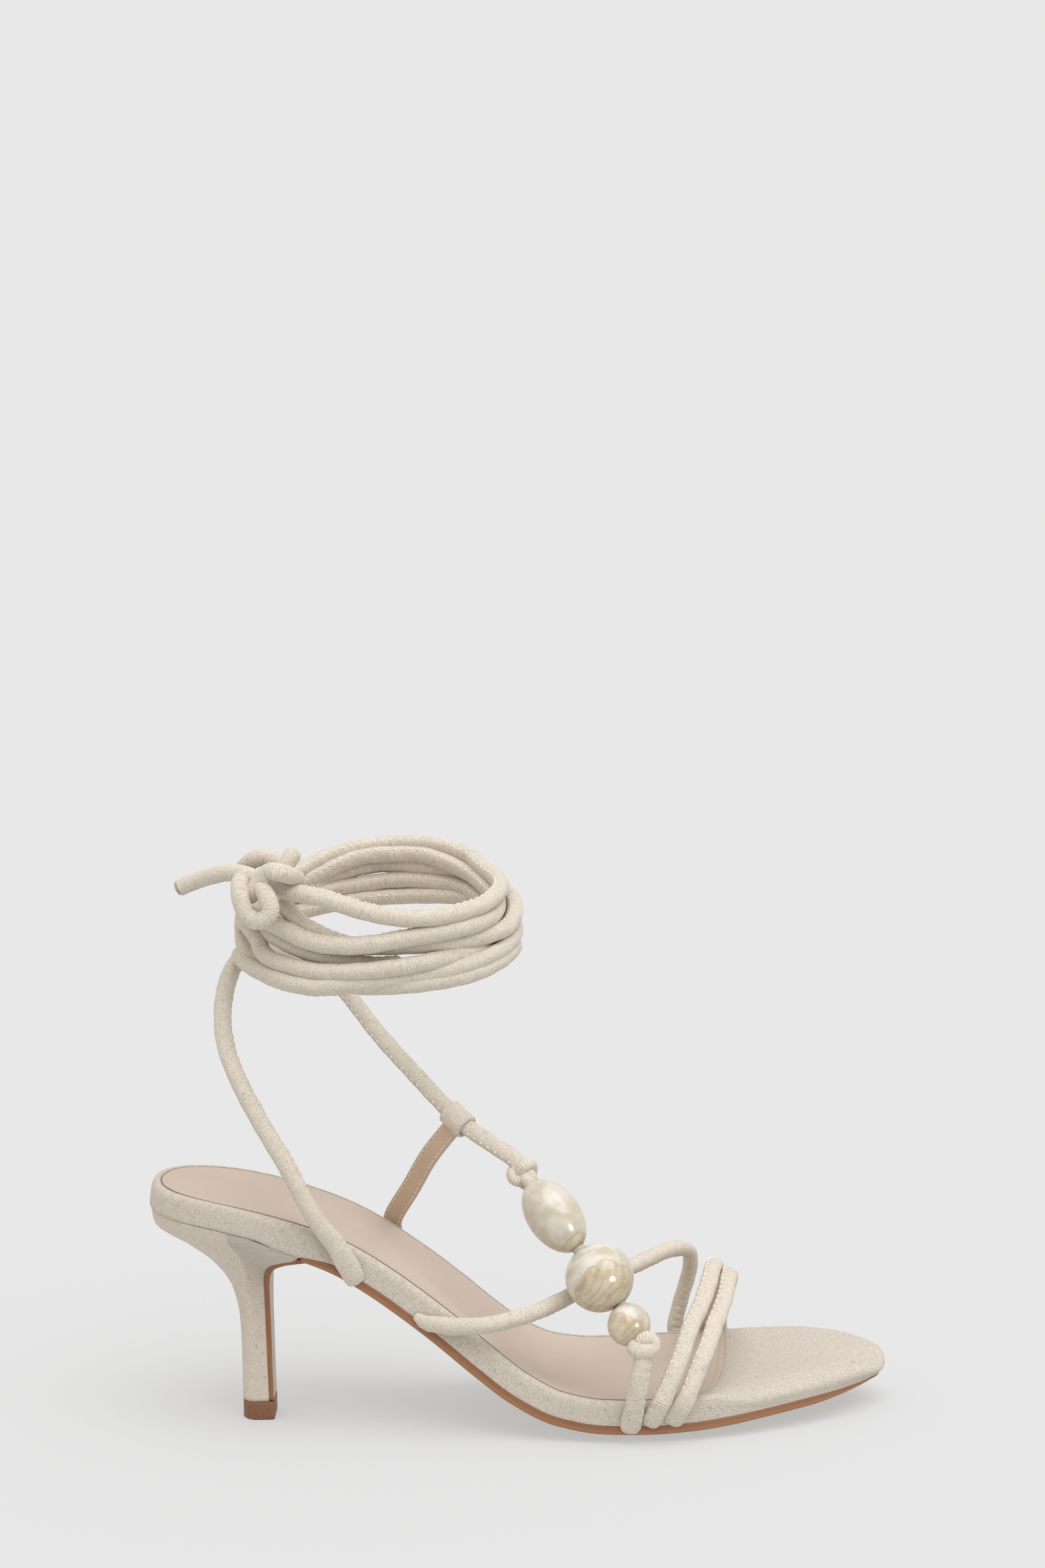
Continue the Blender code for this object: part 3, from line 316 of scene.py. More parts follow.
# The straps' centre lines between their ends, and the toe straps' section
TOE_WIDE = 2.75
TOE_THIN = 2.45
TOE_SQUARE = 2.2
TOE_PUCKER = 0.28
TOE_REAR = [(163.4, -40.0, 21.8), (165.7, -37.0, 25.9), (167.8, -33.0, 29.8), (170.0, -28.0, 33.5),
            (173.0, -22.0, 37.0), (175.7, -15.0, 40.2), (177.9, -7.0, 42.7), (179.7, 2.0, 43.9),
            (181.4, 11.0, 43.3), (183.0, 20.0, 39.6), (183.4, 28.0, 32.6), (182.3, 34.0, 25.6),
            (180.6, 39.6, 18.6)]
TOE_FRONT = [(168.4, -40.5, 16.8), (170.5, -38.0, 21.0), (172.9, -35.0, 25.2), (175.4, -30.5, 29.0),
             (177.6, -25.0, 32.6), (180.3, -18.0, 35.8), (182.8, -10.0, 38.7), (184.6, 0.0, 40.7),
             (186.0, 9.0, 40.6), (187.0, 17.0, 38.2), (187.2, 25.0, 33.2), (186.4, 32.0, 26.4),
             (185.4, 37.6, 19.6)]
CROSS = [(107.1, -34.5, 37.4), (120.2, -29.5, 39.4), (131.3, -19.3, 41.5), (142.3, -10.8, 44.7),
         (154.1, -1.0, 47.0), (164.1, 10.0, 48.5), (170.4, 22.0, 46.9), (174.5, 31.0, 43.8),
         (175.7, 37.0, 38.6), (175.2, 41.0, 32.9), (172.8, 44.2, 23.6), (170.7, 45.0, 15.0)]

# The bead cord: knots, and beads in turn, each from the place where it meets the last one to the next
KNOT_UPPER = (118.3, -10.2, 79.4)
STOPS = [(119.9, -13.7, 77.5), (135.1, -23.1, 57.7), (147.6, -30.9, 41.4), (152.4, -38.9, 31.4)]
Bead = namedtuple("Bead", "name start end radius")
BEADS = [
    Bead("bead_oval", STOPS[0], STOPS[1], 8.6),
    Bead("bead_round", STOPS[1], STOPS[2], 10.9),
    Bead("bead_small", STOPS[2], STOPS[3], 6.8),
]
# Where the cord through the beads and the front tie meet, inside the oval bead
BORE_MIDDLE = (np.array(STOPS[0]) + np.array(STOPS[1])) / 2
KNOT_LOWER = (154.0, -41.6, 31.0)
# The lower knot's turn as it faces the eye: right, up and near
KNOT_LOWER_PATH = [(-1.2, 0.8, -2.6), (-2.3, 0.2, -1.6), (-2.6, -0.2, 0.2), (-1.8, -0.5, 1.7),
                   (0.0, -0.6, 2.3), (1.8, -0.1, 1.9), (2.6, 1.0, 1.1), (2.3, 2.3, 0.7),
                   (1.0, 2.7, 0.6), (-0.3, 1.8, 0.2), (-0.6, 0.6, -0.8)]
# Each bead's marbling: the middle of its khaki pool, the pool's reach, its lines and the colours round it
Marble = namedtuple("Marble", "pool reach lines outside outside_shade")

# The ties up to the ankle
FRONT_TIE_LOW = [(115.0, -7.5, 84.1), (106.6, -3.2, 89.2)]
LOOP_AT = (97.2, 4.0, 95.1)
FRONT_TIE_HIGH = [(83.6, 16.0, 107.7), (70.8, 27.0, 120.4)]
BACK_TIE = [(49.4, -31.0, 75.8), (43.7, -30.0, 87.2), (34.8, -26.5, 101.9), (27.9, -22.5, 114.6),
            (23.6, -16.5, 125.3), (22.7, -9.5, 136.9), (25.2, -0.5, 146.8)]
LOOP_STRAP = [(75.2, 29.9, 49.5), (74.2, 29.6, 54.5), (75.2, 26.6, 59.5), (80.9, 19.6, 69.6),
              (87.4, 12.4, 81.6), (95.4, 5.6, 92.5)]

# The wrap round the ankle: an ellipse, and each turn as angle, step out from the ellipse and height
WRAP_X = 72.6
WRAP_LONG = 43.6
WRAP_WIDE = 36.0
FRONT_TIE_END = [(112, -4, 137), (130, -5, 145.5), (150, -5.5, 150), (170, -5, 152), (184, -3, 151.8),
                 (195, 0, 150.3), (204, 1, 149)]
TURN_1 = [(-130, 0, 173.9), (-111, 0, 171.6), (-94, 0, 167.7), (-78, 0, 165.3), (-61, 0, 165.3),
          (-40, -1, 167.4), (-21, -3, 170.0), (0, -4, 171.8), (20, -3, 173.6), (37, -1.5, 176.6),
          (48, 0, 180.1), (62, 0, 182.8), (76, 0, 183.8), (89, 0, 183.4), (102, 0, 182.2), (116, 0, 179.5),
          (130, -1, 175.8), (152, -5, 174.5), (180, -9, 175), (205, -6, 176), (221, -1, 176.8)]
TURN_2 = [(-137, 0, 163), (-117, 0, 158.1), (-98, 0, 157), (-78, 0, 158.9), (-52, 0, 161.2),
          (-29, -2, 163.6), (0, -5, 166.8), (25, -4, 169.6), (46, -2, 174.6), (67, -2, 179.6),
          (82, -2, 180.4), (102, -2, 179.2), (126, -1, 172.8), (150, 0, 169.5), (180, 0, 166.8),
          (205, 0, 164.6)]
TURN_3 = [(-139, -3.5, 170.5), (-129, -4.6, 164.2), (-117, -5.4, 160.0), (-104, -5.6, 156.9),
          (-90, -5.4, 156.2), (-78, -4.5, 156.3), (-66, -3.5, 156.5), (-52, -2.5, 156.7), (-34, -1, 158),
          (-17, 0, 159.8), (0, 0.6, 164.2), (20, 1, 168.8), (40, 1.5, 172.5), (57, 1.5, 174.6),
          (85, 1.5, 176.6), (98, 1.5, 175.9), (111, 1, 173.4), (124, 0, 170.2), (150, -2, 168),
          (180, -4, 165.5), (203, -4, 162.3), (217, -3, 159.1), (230, -4, 155.9), (243, -4.5, 153.2),
          (256, -5, 151.3), (270, -5, 150.2), (283, -2.6, 150.6)]
TURN_4 = [(-151, -0.5, 157.6), (-145, 0, 153.8), (-136, 0, 151.4), (-116, 0, 149), (-98, 0, 149),
          (-79, 0, 150.3), (-62, -1, 151.8), (-41, -3, 153.2), (-26, -5, 154.6), (0, -5, 158),
          (25, -3, 163.4), (44, -1, 168), (57, 0, 170.1), (72, 0, 171.1), (85, 0, 171.3), (98, 0, 170.2),
          (113, 0, 168.8), (135, 0, 167), (160, 0, 165), (185, 0, 162.8), (199, -0.5, 161)]
BACK_TIE_END = [(160, 1, 150.5), (140, 0, 150), (120, 0, 149.2), (90, 0, 149.2), (60, 0, 150.2),
                (30, 0, 151.8), (0, 0, 152.6), (-24, 0, 149.9), (-41, -0.5, 147.1), (-56, -1.2, 145.4),
                (-74, -2.2, 144.3), (-93, -3.8, 143.9), (-110, -4.5, 144.9), (-127, -4, 146.4),
                (-143, -2.5, 148), (-158, -1, 150.6), (-170, 0, 155), (-180, 0.3, 160)]
TURN_5 = [(183, 0.4, 158.6), (176, 0.4, 160.8), (165, 0, 162), (150, 0, 162), (126, 0, 162.3),
          (105, 0, 164.7), (81, 0, 165.9), (57, 0, 166.1), (41, 0.3, 165.3), (20, 0.5, 161.6),
          (0, 0.5, 157.4), (-20, 0, 153.8), (-36, 0, 151.4), (-57, -1, 148.4), (-83, -2, 146),
          (-103, -0.5, 144.9), (-116, 0.5, 144.3), (-131, 0.8, 145.6), (-148, 1.2, 148.3),
          (-163, 1.5, 150.4), (-176, 1.5, 151.6)]

# The bow behind the ankle
BOW_KNOT = [(32.8, -30.5, 171.4), (35.2, -32.2, 174.4), (37.7, -32.6, 177.8), (40.1, -33.6, 180.2),
            (42.7, -35.0, 180.4), (45.4, -33.6, 179.6), (47.4, -29.0, 178.3), (48.2, -23.0, 177.1)]
BOW_LOOP = [(31.7, -29.0, 178.5), (31.0, -32.2, 176.5), (31.2, -34.6, 173.6), (32.0, -35.6, 170.3),
            (33.5, -36.2, 167.2), (36.4, -36.8, 165.5), (39.2, -37.2, 166.4), (40.6, -37.2, 168.7),
            (40.0, -36.4, 171.9), (38.4, -34.4, 174.7), (37.1, -31.5, 176.2), (37.5, -28.5, 177.5)]
BOW_REAR = [(48.4, -25.6, 186.4), (46.7, -27.0, 184.4), (44.5, -27.6, 182.0), (41.8, -26.6, 183.1),
            (38.8, -25.0, 184.3), (34.5, -23.0, 183.4), (31.3, -20.6, 180.4), (31.2, -18.0, 177.1),
            (32.9, -16.6, 174.1), (34.3, -15.4, 171.5)]
BOW_TAIL = [(37.5, -28.5, 176.0), (35.9, -29.4, 177.7), (33.5, -29.6, 179.1), (29.9, -28.0, 179.7),
            (24.8, -25.0, 179.4), (18.1, -21.0, 177.5), (13.7, -19.4, 175.9), (10.3, -19.0, 174.4)]
# The filling that shows in the tail's end: steps along the cord and out from it
CORE = [(-1.0, 1.6), (0.0, 2.1), (0.35, 2.05), (0.6, 1.7), (0.7, 0.8)]
CORE_SIDES = 20


# Camera: place of the eye, its turn, dip and roll, and the photo's focal length and height in pixels
EYE = (-0.0125, -0.79918, 0.2412)
EYE_TURN = 0.0196
EYE_DIP = 0.0455
EYE_ROLL = -0.0155
FOCAL = 3706.0
PHOTO_TALL = 2352.0
SENSOR = 36.0


def studio_camera():
    """The photo's view."""
    flat = math.cos(EYE_DIP)
    ahead = Vector((math.sin(EYE_TURN) * flat, math.cos(EYE_TURN) * flat, -math.sin(EYE_DIP)))
    level = Vector((math.cos(EYE_TURN), -math.sin(EYE_TURN), 0.0))
    above = level.cross(ahead)
    right = level * math.cos(EYE_ROLL) + above * math.sin(EYE_ROLL)
    over = above * math.cos(EYE_ROLL) - level * math.sin(EYE_ROLL)
    data = bpy.data.cameras.new("camera")
    data.sensor_width = SENSOR
    data.lens = FOCAL * SENSOR / PHOTO_TALL
    data.clip_start = 0.01
    item = bpy.data.objects.new("camera", data)
    bpy.context.scene.collection.objects.link(item)
    item.matrix_world = Matrix((right, over, -ahead)).transposed().to_4x4()
    item.matrix_world.translation = EYE
    bpy.context.scene.camera = item


# Shader groups and finishes
def add(tree, kind, links, **settings):
    """A node with its settings; links gives each input a number, a colour or another node's output."""
    item = tree.nodes.new(kind)
    for key, value in settings.items():
        setattr(item, key, value)
    for socket, source in links.items():
        if isinstance(source, bpy.types.NodeSocket):
            tree.links.new(source, item.inputs[socket])
        else:
            item.inputs[socket].default_value = source
    return item


def vectors(tree, operation, *sources, **more):
    """The outputs of one vector maths node."""
    links = {**dict(enumerate(sources)), **more}
    return add(tree, "ShaderNodeVectorMath", links, operation=operation).outputs


def sums(tree, operation, *sources):
    """The output of one maths node."""
    return add(tree, "ShaderNodeMath", dict(enumerate(sources)), operation=operation).outputs[0]


def span(tree, value, low, high, to_low=0.0, to_high=1.0):
    """A value between two bounds, brought softly between two others."""
    links = {"Value": value, "From Min": low, "From Max": high, "To Min": to_low, "To Max": to_high}
    return add(tree, "ShaderNodeMapRange", links, interpolation_type="SMOOTHSTEP").outputs[0]


def mixed(tree, share, first, second):
    """Two colours mixed by the share of the second."""
    return add(tree, "ShaderNodeMix", {0: share, 6: first, 7: second}, data_type="RGBA").outputs[2]


def cloudy(tree, place, scale, detail=2.0):
    """Soft noise over a place."""
    return add(tree, "ShaderNodeTexNoise", {"Vector": place, "Scale": scale, "Detail": detail}).outputs["Fac"]


def stretched(tree, place, size, shift=(0.0, 0.0, 0.0)):
    """A place scaled and shifted."""
    return add(tree, "ShaderNodeMapping", {"Vector": place, "Scale": size, "Location": shift}).outputs[0]


def new_group(name, inputs, outputs):
    """An empty group of nodes with named sockets, what comes into it and what it puts out."""
    tree = bpy.data.node_groups.new(name, "ShaderNodeTree")
    for sockets, way in ((inputs, "INPUT"), (outputs, "OUTPUT")):
        for label, kind in sockets:
            tree.interface.new_socket(label, in_out=way, socket_type="NodeSocket" + kind)
    return tree, tree.nodes.new("NodeGroupInput").outputs, tree.nodes.new("NodeGroupOutput").inputs


def linen_threads():
    """Woven linen over a place in the cloth in millimetres: ribs across x, uneven threads and dark slubs."""
    tree, given, put = new_group(
        "linen threads",
        [("Place", "Vector"), ("Light", "Color"), ("Dark", "Color"), ("Slub", "Color"), ("Pitch", "Float"),
         ("Slubs", "Float")],
        [("Colour", "Color"), ("Height", "Float")])
    place = given["Place"]
    parts = add(tree, "ShaderNodeSeparateXYZ", {0: place}).outputs
    sway = sums(tree, "MULTIPLY_ADD", cloudy(tree, place, 0.3), 0.9, -0.45)
    count = sums(tree, "DIVIDE", sums(tree, "ADD", parts[0], sway), given["Pitch"])
    rib = sums(tree, "SINE", sums(tree, "MULTIPLY", count, 2 * math.pi))
    odd = sums(tree, "MULTIPLY", sums(tree, "FLOOR", sums(tree, "ADD", count, 0.25)), math.pi)
    weft = sums(tree, "SINE", sums(tree, "ADD", sums(tree, "MULTIPLY", parts[1], 7.6), odd))
    warp_tone = cloudy(tree, stretched(tree, place, (3.0, 0.3, 1.0)), 1.0)
    weft_tone = cloudy(tree, stretched(tree, place, (0.3, 3.0, 1.0), (31.0, 7.0, 5.0)), 1.0)
    speck = cloudy(tree, place, 1.5, 3.0)
    tone = sums(tree, "MULTIPLY_ADD", warp_tone, 0.9, sums(tree, "MULTIPLY_ADD", weft_tone, 0.7, -0.9))
    tone = sums(tree, "MULTIPLY_ADD", speck, 1.2, tone)
    tone = sums(tree, "MULTIPLY_ADD", rib, 0.16, sums(tree, "MULTIPLY_ADD", weft, 0.08, tone))
    base = mixed(tree, span(tree, tone, 0.05, 0.95), given["Dark"], given["Light"])
    long_slub = cloudy(tree, stretched(tree, place, (1.5, 0.5, 1.0), (3.0, 11.0, 2.0)), 0.8, 1.0)
    wide_slub = cloudy(tree, stretched(tree, place, (0.5, 1.5, 1.0), (17.0, 5.0, 9.0)), 0.8, 1.0)
    slub = sums(tree, "MAXIMUM", span(tree, long_slub, 0.67, 0.75), span(tree, wide_slub, 0.68, 0.76))
    slub = sums(tree, "MULTIPLY", slub, given["Slubs"])
    tree.links.new(mixed(tree, slub, base, given["Slub"]), put["Colour"])
    height = sums(tree, "MULTIPLY_ADD", rib, 0.35, sums(tree, "MULTIPLY_ADD", weft, 0.14, 0.5))
    height = sums(tree, "MULTIPLY_ADD", warp_tone, 0.3, sums(tree, "MULTIPLY_ADD", slub, 0.2, height))
    tree.links.new(height, put["Height"])
    return tree


def hide_grain():
    """Smooth leather over a place in metres: soft clouding, fine pores and short creases."""
    tree, given, put = new_group(
        "hide grain",
        [("Place", "Vector"), ("Light", "Color"), ("Dark", "Color")],
        [("Colour", "Color"), ("Height", "Float"), ("Roughness", "Float")])
    place = vectors(tree, "SCALE", given["Place"], Scale=1.0 / MM)[0]
    cloud = cloudy(tree, place, 0.05, 4.0)
    fine = cloudy(tree, place, 1.1, 3.0)
    shade = sums(tree, "MULTIPLY_ADD", fine, 0.4, sums(tree, "MULTIPLY_ADD", cloud, 1.0, -0.2))
    tree.links.new(mixed(tree, span(tree, shade, 0.1, 0.9), given["Dark"], given["Light"]), put["Colour"])
    pores = add(tree, "ShaderNodeTexVoronoi", {"Vector": place, "Scale": 2.6}).outputs["Distance"]
    height = sums(tree, "MULTIPLY_ADD", pores, 0.5, sums(tree, "MULTIPLY", fine, 0.6))
    tree.links.new(height, put["Height"])
    tree.links.new(sums(tree, "MULTIPLY_ADD", cloud, 0.16, 0.5), put["Roughness"])
    return tree


def marble_swirl():
    """Polished resin over a place in metres: cloudy outside a pool, fine curved lines inside it."""
    tree, given, put = new_group(
        "marble swirl",
        [("Place", "Vector"), ("Pool", "Vector"), ("Reach", "Float"), ("Lines", "Float"),
         ("Outside", "Color"), ("Outside Shade", "Color"), ("Inside", "Color"), ("Inside Shade", "Color")],
        [("Colour", "Color")])
    away = vectors(tree, "SUBTRACT", given["Place"], given["Pool"])[0]
    place = vectors(tree, "SCALE", away, Scale=1.0 / MM)[0]
    curl = add(tree, "ShaderNodeTexNoise", {"Vector": place, "Scale": 0.11, "Detail": 2.0}).outputs["Color"]
    bent = vectors(tree, "MULTIPLY_ADD", curl, (7.0, 7.0, 7.0), place)[0]
    centred = vectors(tree, "SUBTRACT", bent, (3.5, 3.5, 3.5))[0]
    reach = vectors(tree, "LENGTH", centred)["Value"]
    cloud = cloudy(tree, bent, 0.16, 3.0)
    fine = cloudy(tree, bent, 0.9, 3.0)
    streak = vectors(tree, "DOT_PRODUCT", bent, (0.82, 0.25, -0.5))["Value"]
    wave = sums(tree, "MULTIPLY_ADD", streak, given["Lines"], sums(tree, "MULTIPLY", fine, 7.0))
    wave = sums(tree, "SINE", wave)
    tone = sums(tree, "MULTIPLY_ADD", wave, 0.13, sums(tree, "MULTIPLY_ADD", cloud, 1.6, -0.2))
    inside = mixed(tree, span(tree, tone, 0.0, 1.0), given["Inside Shade"], given["Inside"])
    outside = mixed(tree, span(tree, cloud, 0.36, 0.66), given["Outside Shade"], given["Outside"])
    past = sums(tree, "SUBTRACT", reach, given["Reach"])
    base = mixed(tree, span(tree, past, -0.7, 0.5), inside, outside)
    border = span(tree, sums(tree, "ABSOLUTE", sums(tree, "ADD", past, 0.2)), 0.0, 0.55, 0.45, 0.0)
    tree.links.new(mixed(tree, border, base, given["Inside Shade"]), put["Colour"])
    return tree


def finish(name, rough, **fixed):
    """A material with its shader; fixed sets the shader's own sockets."""
    material = bpy.data.materials.new(name)
    material.use_nodes = True
    tree = material.node_tree
    shader = tree.nodes["Principled BSDF"]
    shader.inputs["Roughness"].default_value = rough
    for label, value in fixed.items():
        shader.inputs[label.replace("_", " ")].default_value = value
    return material, tree, shader


def relief(tree, shader, height, deep):
    """A height over the surface as bump, deep metres from low to high."""
    bump = add(tree, "ShaderNodeBump", {"Height": height, "Distance": deep, "Strength": 1.0})
    tree.links.new(bump.outputs[0], shader.inputs["Normal"])


def linen(name, light, dark, pitch, slubs, deep):
    """Woven linen whose threads follow the piece's own map."""
    material, tree, shader = finish(name, 0.88, Sheen_Weight=0.12, Sheen_Roughness=0.5,
                                    Specular_IOR_Level=0.25)
    place = add(tree, "ShaderNodeUVMap", {}, uv_map="threads").outputs[0]
    links = {"Place": place, "Light": light, "Dark": dark, "Slub": SLUB, "Pitch": pitch, "Slubs": slubs}
    cloth = add(tree, "ShaderNodeGroup", links, node_tree=THREADS).outputs
    tree.links.new(cloth["Colour"], shader.inputs["Base Color"])
    relief(tree, shader, cloth["Height"], deep)
    return material


def leather(name, light, dark, deep):
    """Smooth leather."""
    material, tree, shader = finish(name, 0.55, Specular_IOR_Level=0.4)
    place = add(tree, "ShaderNodeTexCoord", {}).outputs["Object"]
    links = {"Place": place, "Light": light, "Dark": dark}
    hide = add(tree, "ShaderNodeGroup", links, node_tree=GRAIN).outputs
    tree.links.new(hide["Colour"], shader.inputs["Base Color"])
    tree.links.new(hide["Roughness"], shader.inputs["Roughness"])
    relief(tree, shader, hide["Height"], deep)
    return material


def resin(name, marble):
    """Polished resin with one bead's marbling."""
    material, tree, shader = finish(name, 0.25, Coat_Weight=0.5, Coat_Roughness=0.05, Subsurface_Weight=0.1,
                                    Subsurface_Scale=0.002)
    place = add(tree, "ShaderNodeTexCoord", {}).outputs["Object"]
    pool = ((np.array(marble.pool) - ORIGIN) * MM).tolist()
    links = {"Place": place, "Pool": pool, "Reach": marble.reach, "Lines": marble.lines,
             "Outside": marble.outside, "Outside Shade": marble.outside_shade, "Inside": KHAKI_PALE,
             "Inside Shade": KHAKI}
    swirl = add(tree, "ShaderNodeGroup", links, node_tree=SWIRL).outputs
    tree.links.new(swirl["Colour"], shader.inputs["Base Color"])
    return material


def sole_sheet(name):
    """The outsole, over the distance from its top edge: stained brown on the cut edge, beige underneath. The
    edge's upper part is darker as painted shade under the footbed, with a painted shadow line along the
    crease at its top.
    """
    material, tree, shader = finish(name, 0.5)
    place = add(tree, "ShaderNodeUVMap", {}, uv_map="threads").outputs[0]
    parts = add(tree, "ShaderNodeSeparateXYZ", {0: place}).outputs
    wander = sums(tree, "MULTIPLY_ADD", cloudy(tree, place, 0.6, 3.0), 0.5, -0.25)
    down = sums(tree, "ADD", parts[1], wander)
    streak = cloudy(tree, stretched(tree, place, (0.12, 2.2, 1.0)), 1.0, 3.0)
    edge = mixed(tree, span(tree, streak, 0.25, 0.75), STAIN_DARK, STAIN)
    # Painted shade: the edge stays darker at the top, under the footbed, and turns lighter lower down.
    edge = mixed(tree, span(tree, down, 0.9, 2.3, 0.0, 0.8), edge, STAIN_LOW_LIT)
    # Painted shadow: a dark line along the crease between footbed and outsole.
    crease_shadow = span(tree, down, 0.1, 0.5, 0.75, 0.0)
    edge = mixed(tree, crease_shadow, edge, CREASE_SHADOW_LINE)
    face = mixed(tree, cloudy(tree, place, 0.12, 4.0), FACE_DARK, FACE)
    tree.links.new(mixed(tree, span(tree, down, 2.7, 3.2), edge, face), shader.inputs["Base Color"])
    tree.links.new(span(tree, down, 2.7, 3.2, 0.55, 0.42), shader.inputs["Roughness"])
    relief(tree, shader, cloudy(tree, place, 1.6, 3.0), 0.00006)
    return material


def plain_grain(name, light, dark, scale, rough, deep):
    """One stuff with a slight clouding and a fine grain, for thread, heel tip and cord core."""
    material, tree, shader = finish(name, rough)
    place = add(tree, "ShaderNodeTexCoord", {}).outputs["Object"]
    cloud = cloudy(tree, place, scale, 3.0)
    tree.links.new(mixed(tree, span(tree, cloud, 0.3, 0.7), dark, light), shader.inputs["Base Color"])
    relief(tree, shader, cloud, deep)
    return material


# Colours and materials
MILK = (0.71, 0.665, 0.59, 1.0)
SHELL = (0.64, 0.59, 0.505, 1.0)
CREAM = (0.54, 0.475, 0.375, 1.0)
KHAKI_PALE = (0.645, 0.56, 0.42, 1.0)
KHAKI = (0.41, 0.33, 0.20, 1.0)
PALE_CREAM = (0.53, 0.465, 0.36, 1.0)
STAIN = (0.30, 0.122, 0.048, 1.0)
STAIN_DARK = (0.24, 0.095, 0.037, 1.0)
# The edge's lower part, lighter against the painted shade above it, and a painted shadow line for the crease
# under the footbed.
STAIN_LOW_LIT = (0.36, 0.18, 0.082, 1.0)
CREASE_SHADOW_LINE = (0.17, 0.085, 0.045, 1.0)
FACE = (0.60, 0.49, 0.395, 1.0)
FACE_DARK = (0.53, 0.42, 0.335, 1.0)
OAT = (0.66, 0.60, 0.53, 1.0)
OAT_DARK = (0.475, 0.415, 0.345, 1.0)
SLUB = (0.27, 0.22, 0.17, 1.0)
MARBLES = [
    Marble((135.0, -24.0, 57.5), 6.6, 1.3, SHELL, PALE_CREAM),
    Marble((143.8, -36.0, 46.6), 10.2, 2.6, MILK, CREAM),
    Marble((147.6, -41.0, 35.2), 6.6, 3.4, MILK, CREAM),
]
THREADS = linen_threads()
GRAIN = hide_grain()
SWIRL = marble_swirl()
CORD_LINEN = linen("cord linen", (0.75, 0.685, 0.595, 1.0), (0.56, 0.49, 0.40, 1.0), 0.52, 0.3, 0.00012)
COVER_LINEN = linen("cover linen", OAT, OAT_DARK, 0.56, 0.34, 0.00012)
HEEL_LINEN = linen("heel linen", (0.73, 0.65, 0.555, 1.0), (0.58, 0.50, 0.415, 1.0), 0.5, 0.4, 0.0001)
SOCK_LEATHER = leather("sock leather", (0.565, 0.468, 0.393, 1.0), (0.51, 0.415, 0.345, 1.0), 0.00005)
LINING_LEATHER = leather("strap lining", (0.60, 0.455, 0.335, 1.0), (0.52, 0.39, 0.285, 1.0), 0.00006)
SOLE_TAN = sole_sheet("sole sheet")
# The sock's edge: dark partly as raw-cut leather, partly as painted shade in the crevice between sock and
# linen.
CUT_EDGE_AND_SHADE = plain_grain("sock edge", (0.36, 0.295, 0.235, 1.0), (0.28, 0.23, 0.18, 1.0), 1200.0, 0.7, 0.00003)
TIP_BROWN = plain_grain("top piece", (0.24, 0.10, 0.046, 1.0), (0.19, 0.078, 0.036, 1.0), 900.0, 0.5, 0.00003)
SEAM_THREAD = plain_grain("seam thread", (0.87, 0.82, 0.73, 1.0), (0.78, 0.72, 0.62, 1.0), 2500.0, 0.7,
                          0.00003)
CORD_CORE = plain_grain("cord core", (0.50, 0.46, 0.44, 1.0), (0.36, 0.33, 0.31, 1.0), 1800.0, 0.9, 0.0001)


# Meshes
def to_mesh(name, spots, faces, threads):
    """A mesh from places in millimetres, faces and each face corner's place in the cloth."""
    mesh = bpy.data.meshes.new(name)
    mesh.from_pydata(((spots - ORIGIN) * MM).tolist(), [], faces)
    layer = mesh.uv_layers.new(name="threads")
    layer.data.foreach_set("uv", np.asarray(threads, dtype=np.float32).ravel())
    mesh.polygons.foreach_set("use_smooth", [True] * len(mesh.polygons))
    bm = bmesh.new()
    bm.from_mesh(mesh)
    bmesh.ops.remove_doubles(bm, verts=bm.verts, dist=WELD)
    bmesh.ops.recalc_face_normals(bm, faces=bm.faces)
    bm.to_mesh(mesh)
    bm.free()
    return mesh


def lattice(name, rows, threads, round_rows=True, ring=False, ends=(True, True), choice=None):
    """A mesh over rows of places, each row closed if round_rows; ring joins the last row to the first one.

    threads has one more column than rows where rows close, and one more row where the ring does.
    A choice gives each face its own table of threads instead.
    """
    rows = np.asarray(rows, float)
    threads = np.asarray(threads, float)
    count, across = rows.shape[:2]
    spots = rows.reshape(-1, 3)
    faces = []
    marks = []
    for i in range(count if ring else count - 1):
        low = i * across
        high = (i + 1) % count * across
        for j in range(across if round_rows else across - 1):
            k = (j + 1) % across
            faces.append((low + j, low + k, high + k, high + j))
            cloth = choice(i, j) if choice else threads
            marks.append((cloth[i, j], cloth[i, j + 1], cloth[i + 1, j + 1], cloth[i + 1, j]))
    marks = [corner for face in marks for corner in face]
    for end, wanted in zip((0, count - 1), ends):
        if wanted and round_rows and not ring:
            centre = len(spots)
            spots = np.vstack((spots, rows[end].mean(axis=0)))
            middle = threads[end].mean(axis=0)
            for j in range(across):
                faces.append((end * across + j, end * across + (j + 1) % across, centre))
                marks += [threads[end, j], threads[end, j + 1], middle]
    return to_mesh(name, spots, faces, marks)


def piece(mesh, material, slot, *nodes):
    """A piece of the scene, its material in the mesh's first material slot, that stands for the nodes it
    replaces. The slot argument is not used.
    """
    item = bpy.data.objects.new(mesh.name, mesh)
    bpy.context.scene.collection.objects.link(item)
    mesh.materials.append(material)
    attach(item, "root")
    if nodes:
        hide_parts(*nodes)
    return item


def unit(ways):
    """Ways with a length of one."""
    return ways / np.linalg.norm(ways, axis=-1, keepdims=True)


def smooth(value, low, high):
    """A share that eases from nought at low to one at high."""
    share = np.clip((value - low) / (high - low), 0.0, 1.0)
    return share * share * (3.0 - 2.0 * share)


def walked(places):
    """The length so far at each place along a line."""
    return np.concatenate(((0.0,), np.cumsum(np.linalg.norm(np.diff(places, axis=0), axis=1))))


def pairs(first, second):
    """Places in the cloth from two tables that widen each other."""
    return np.stack(np.broadcast_arrays(first, second), axis=-1)


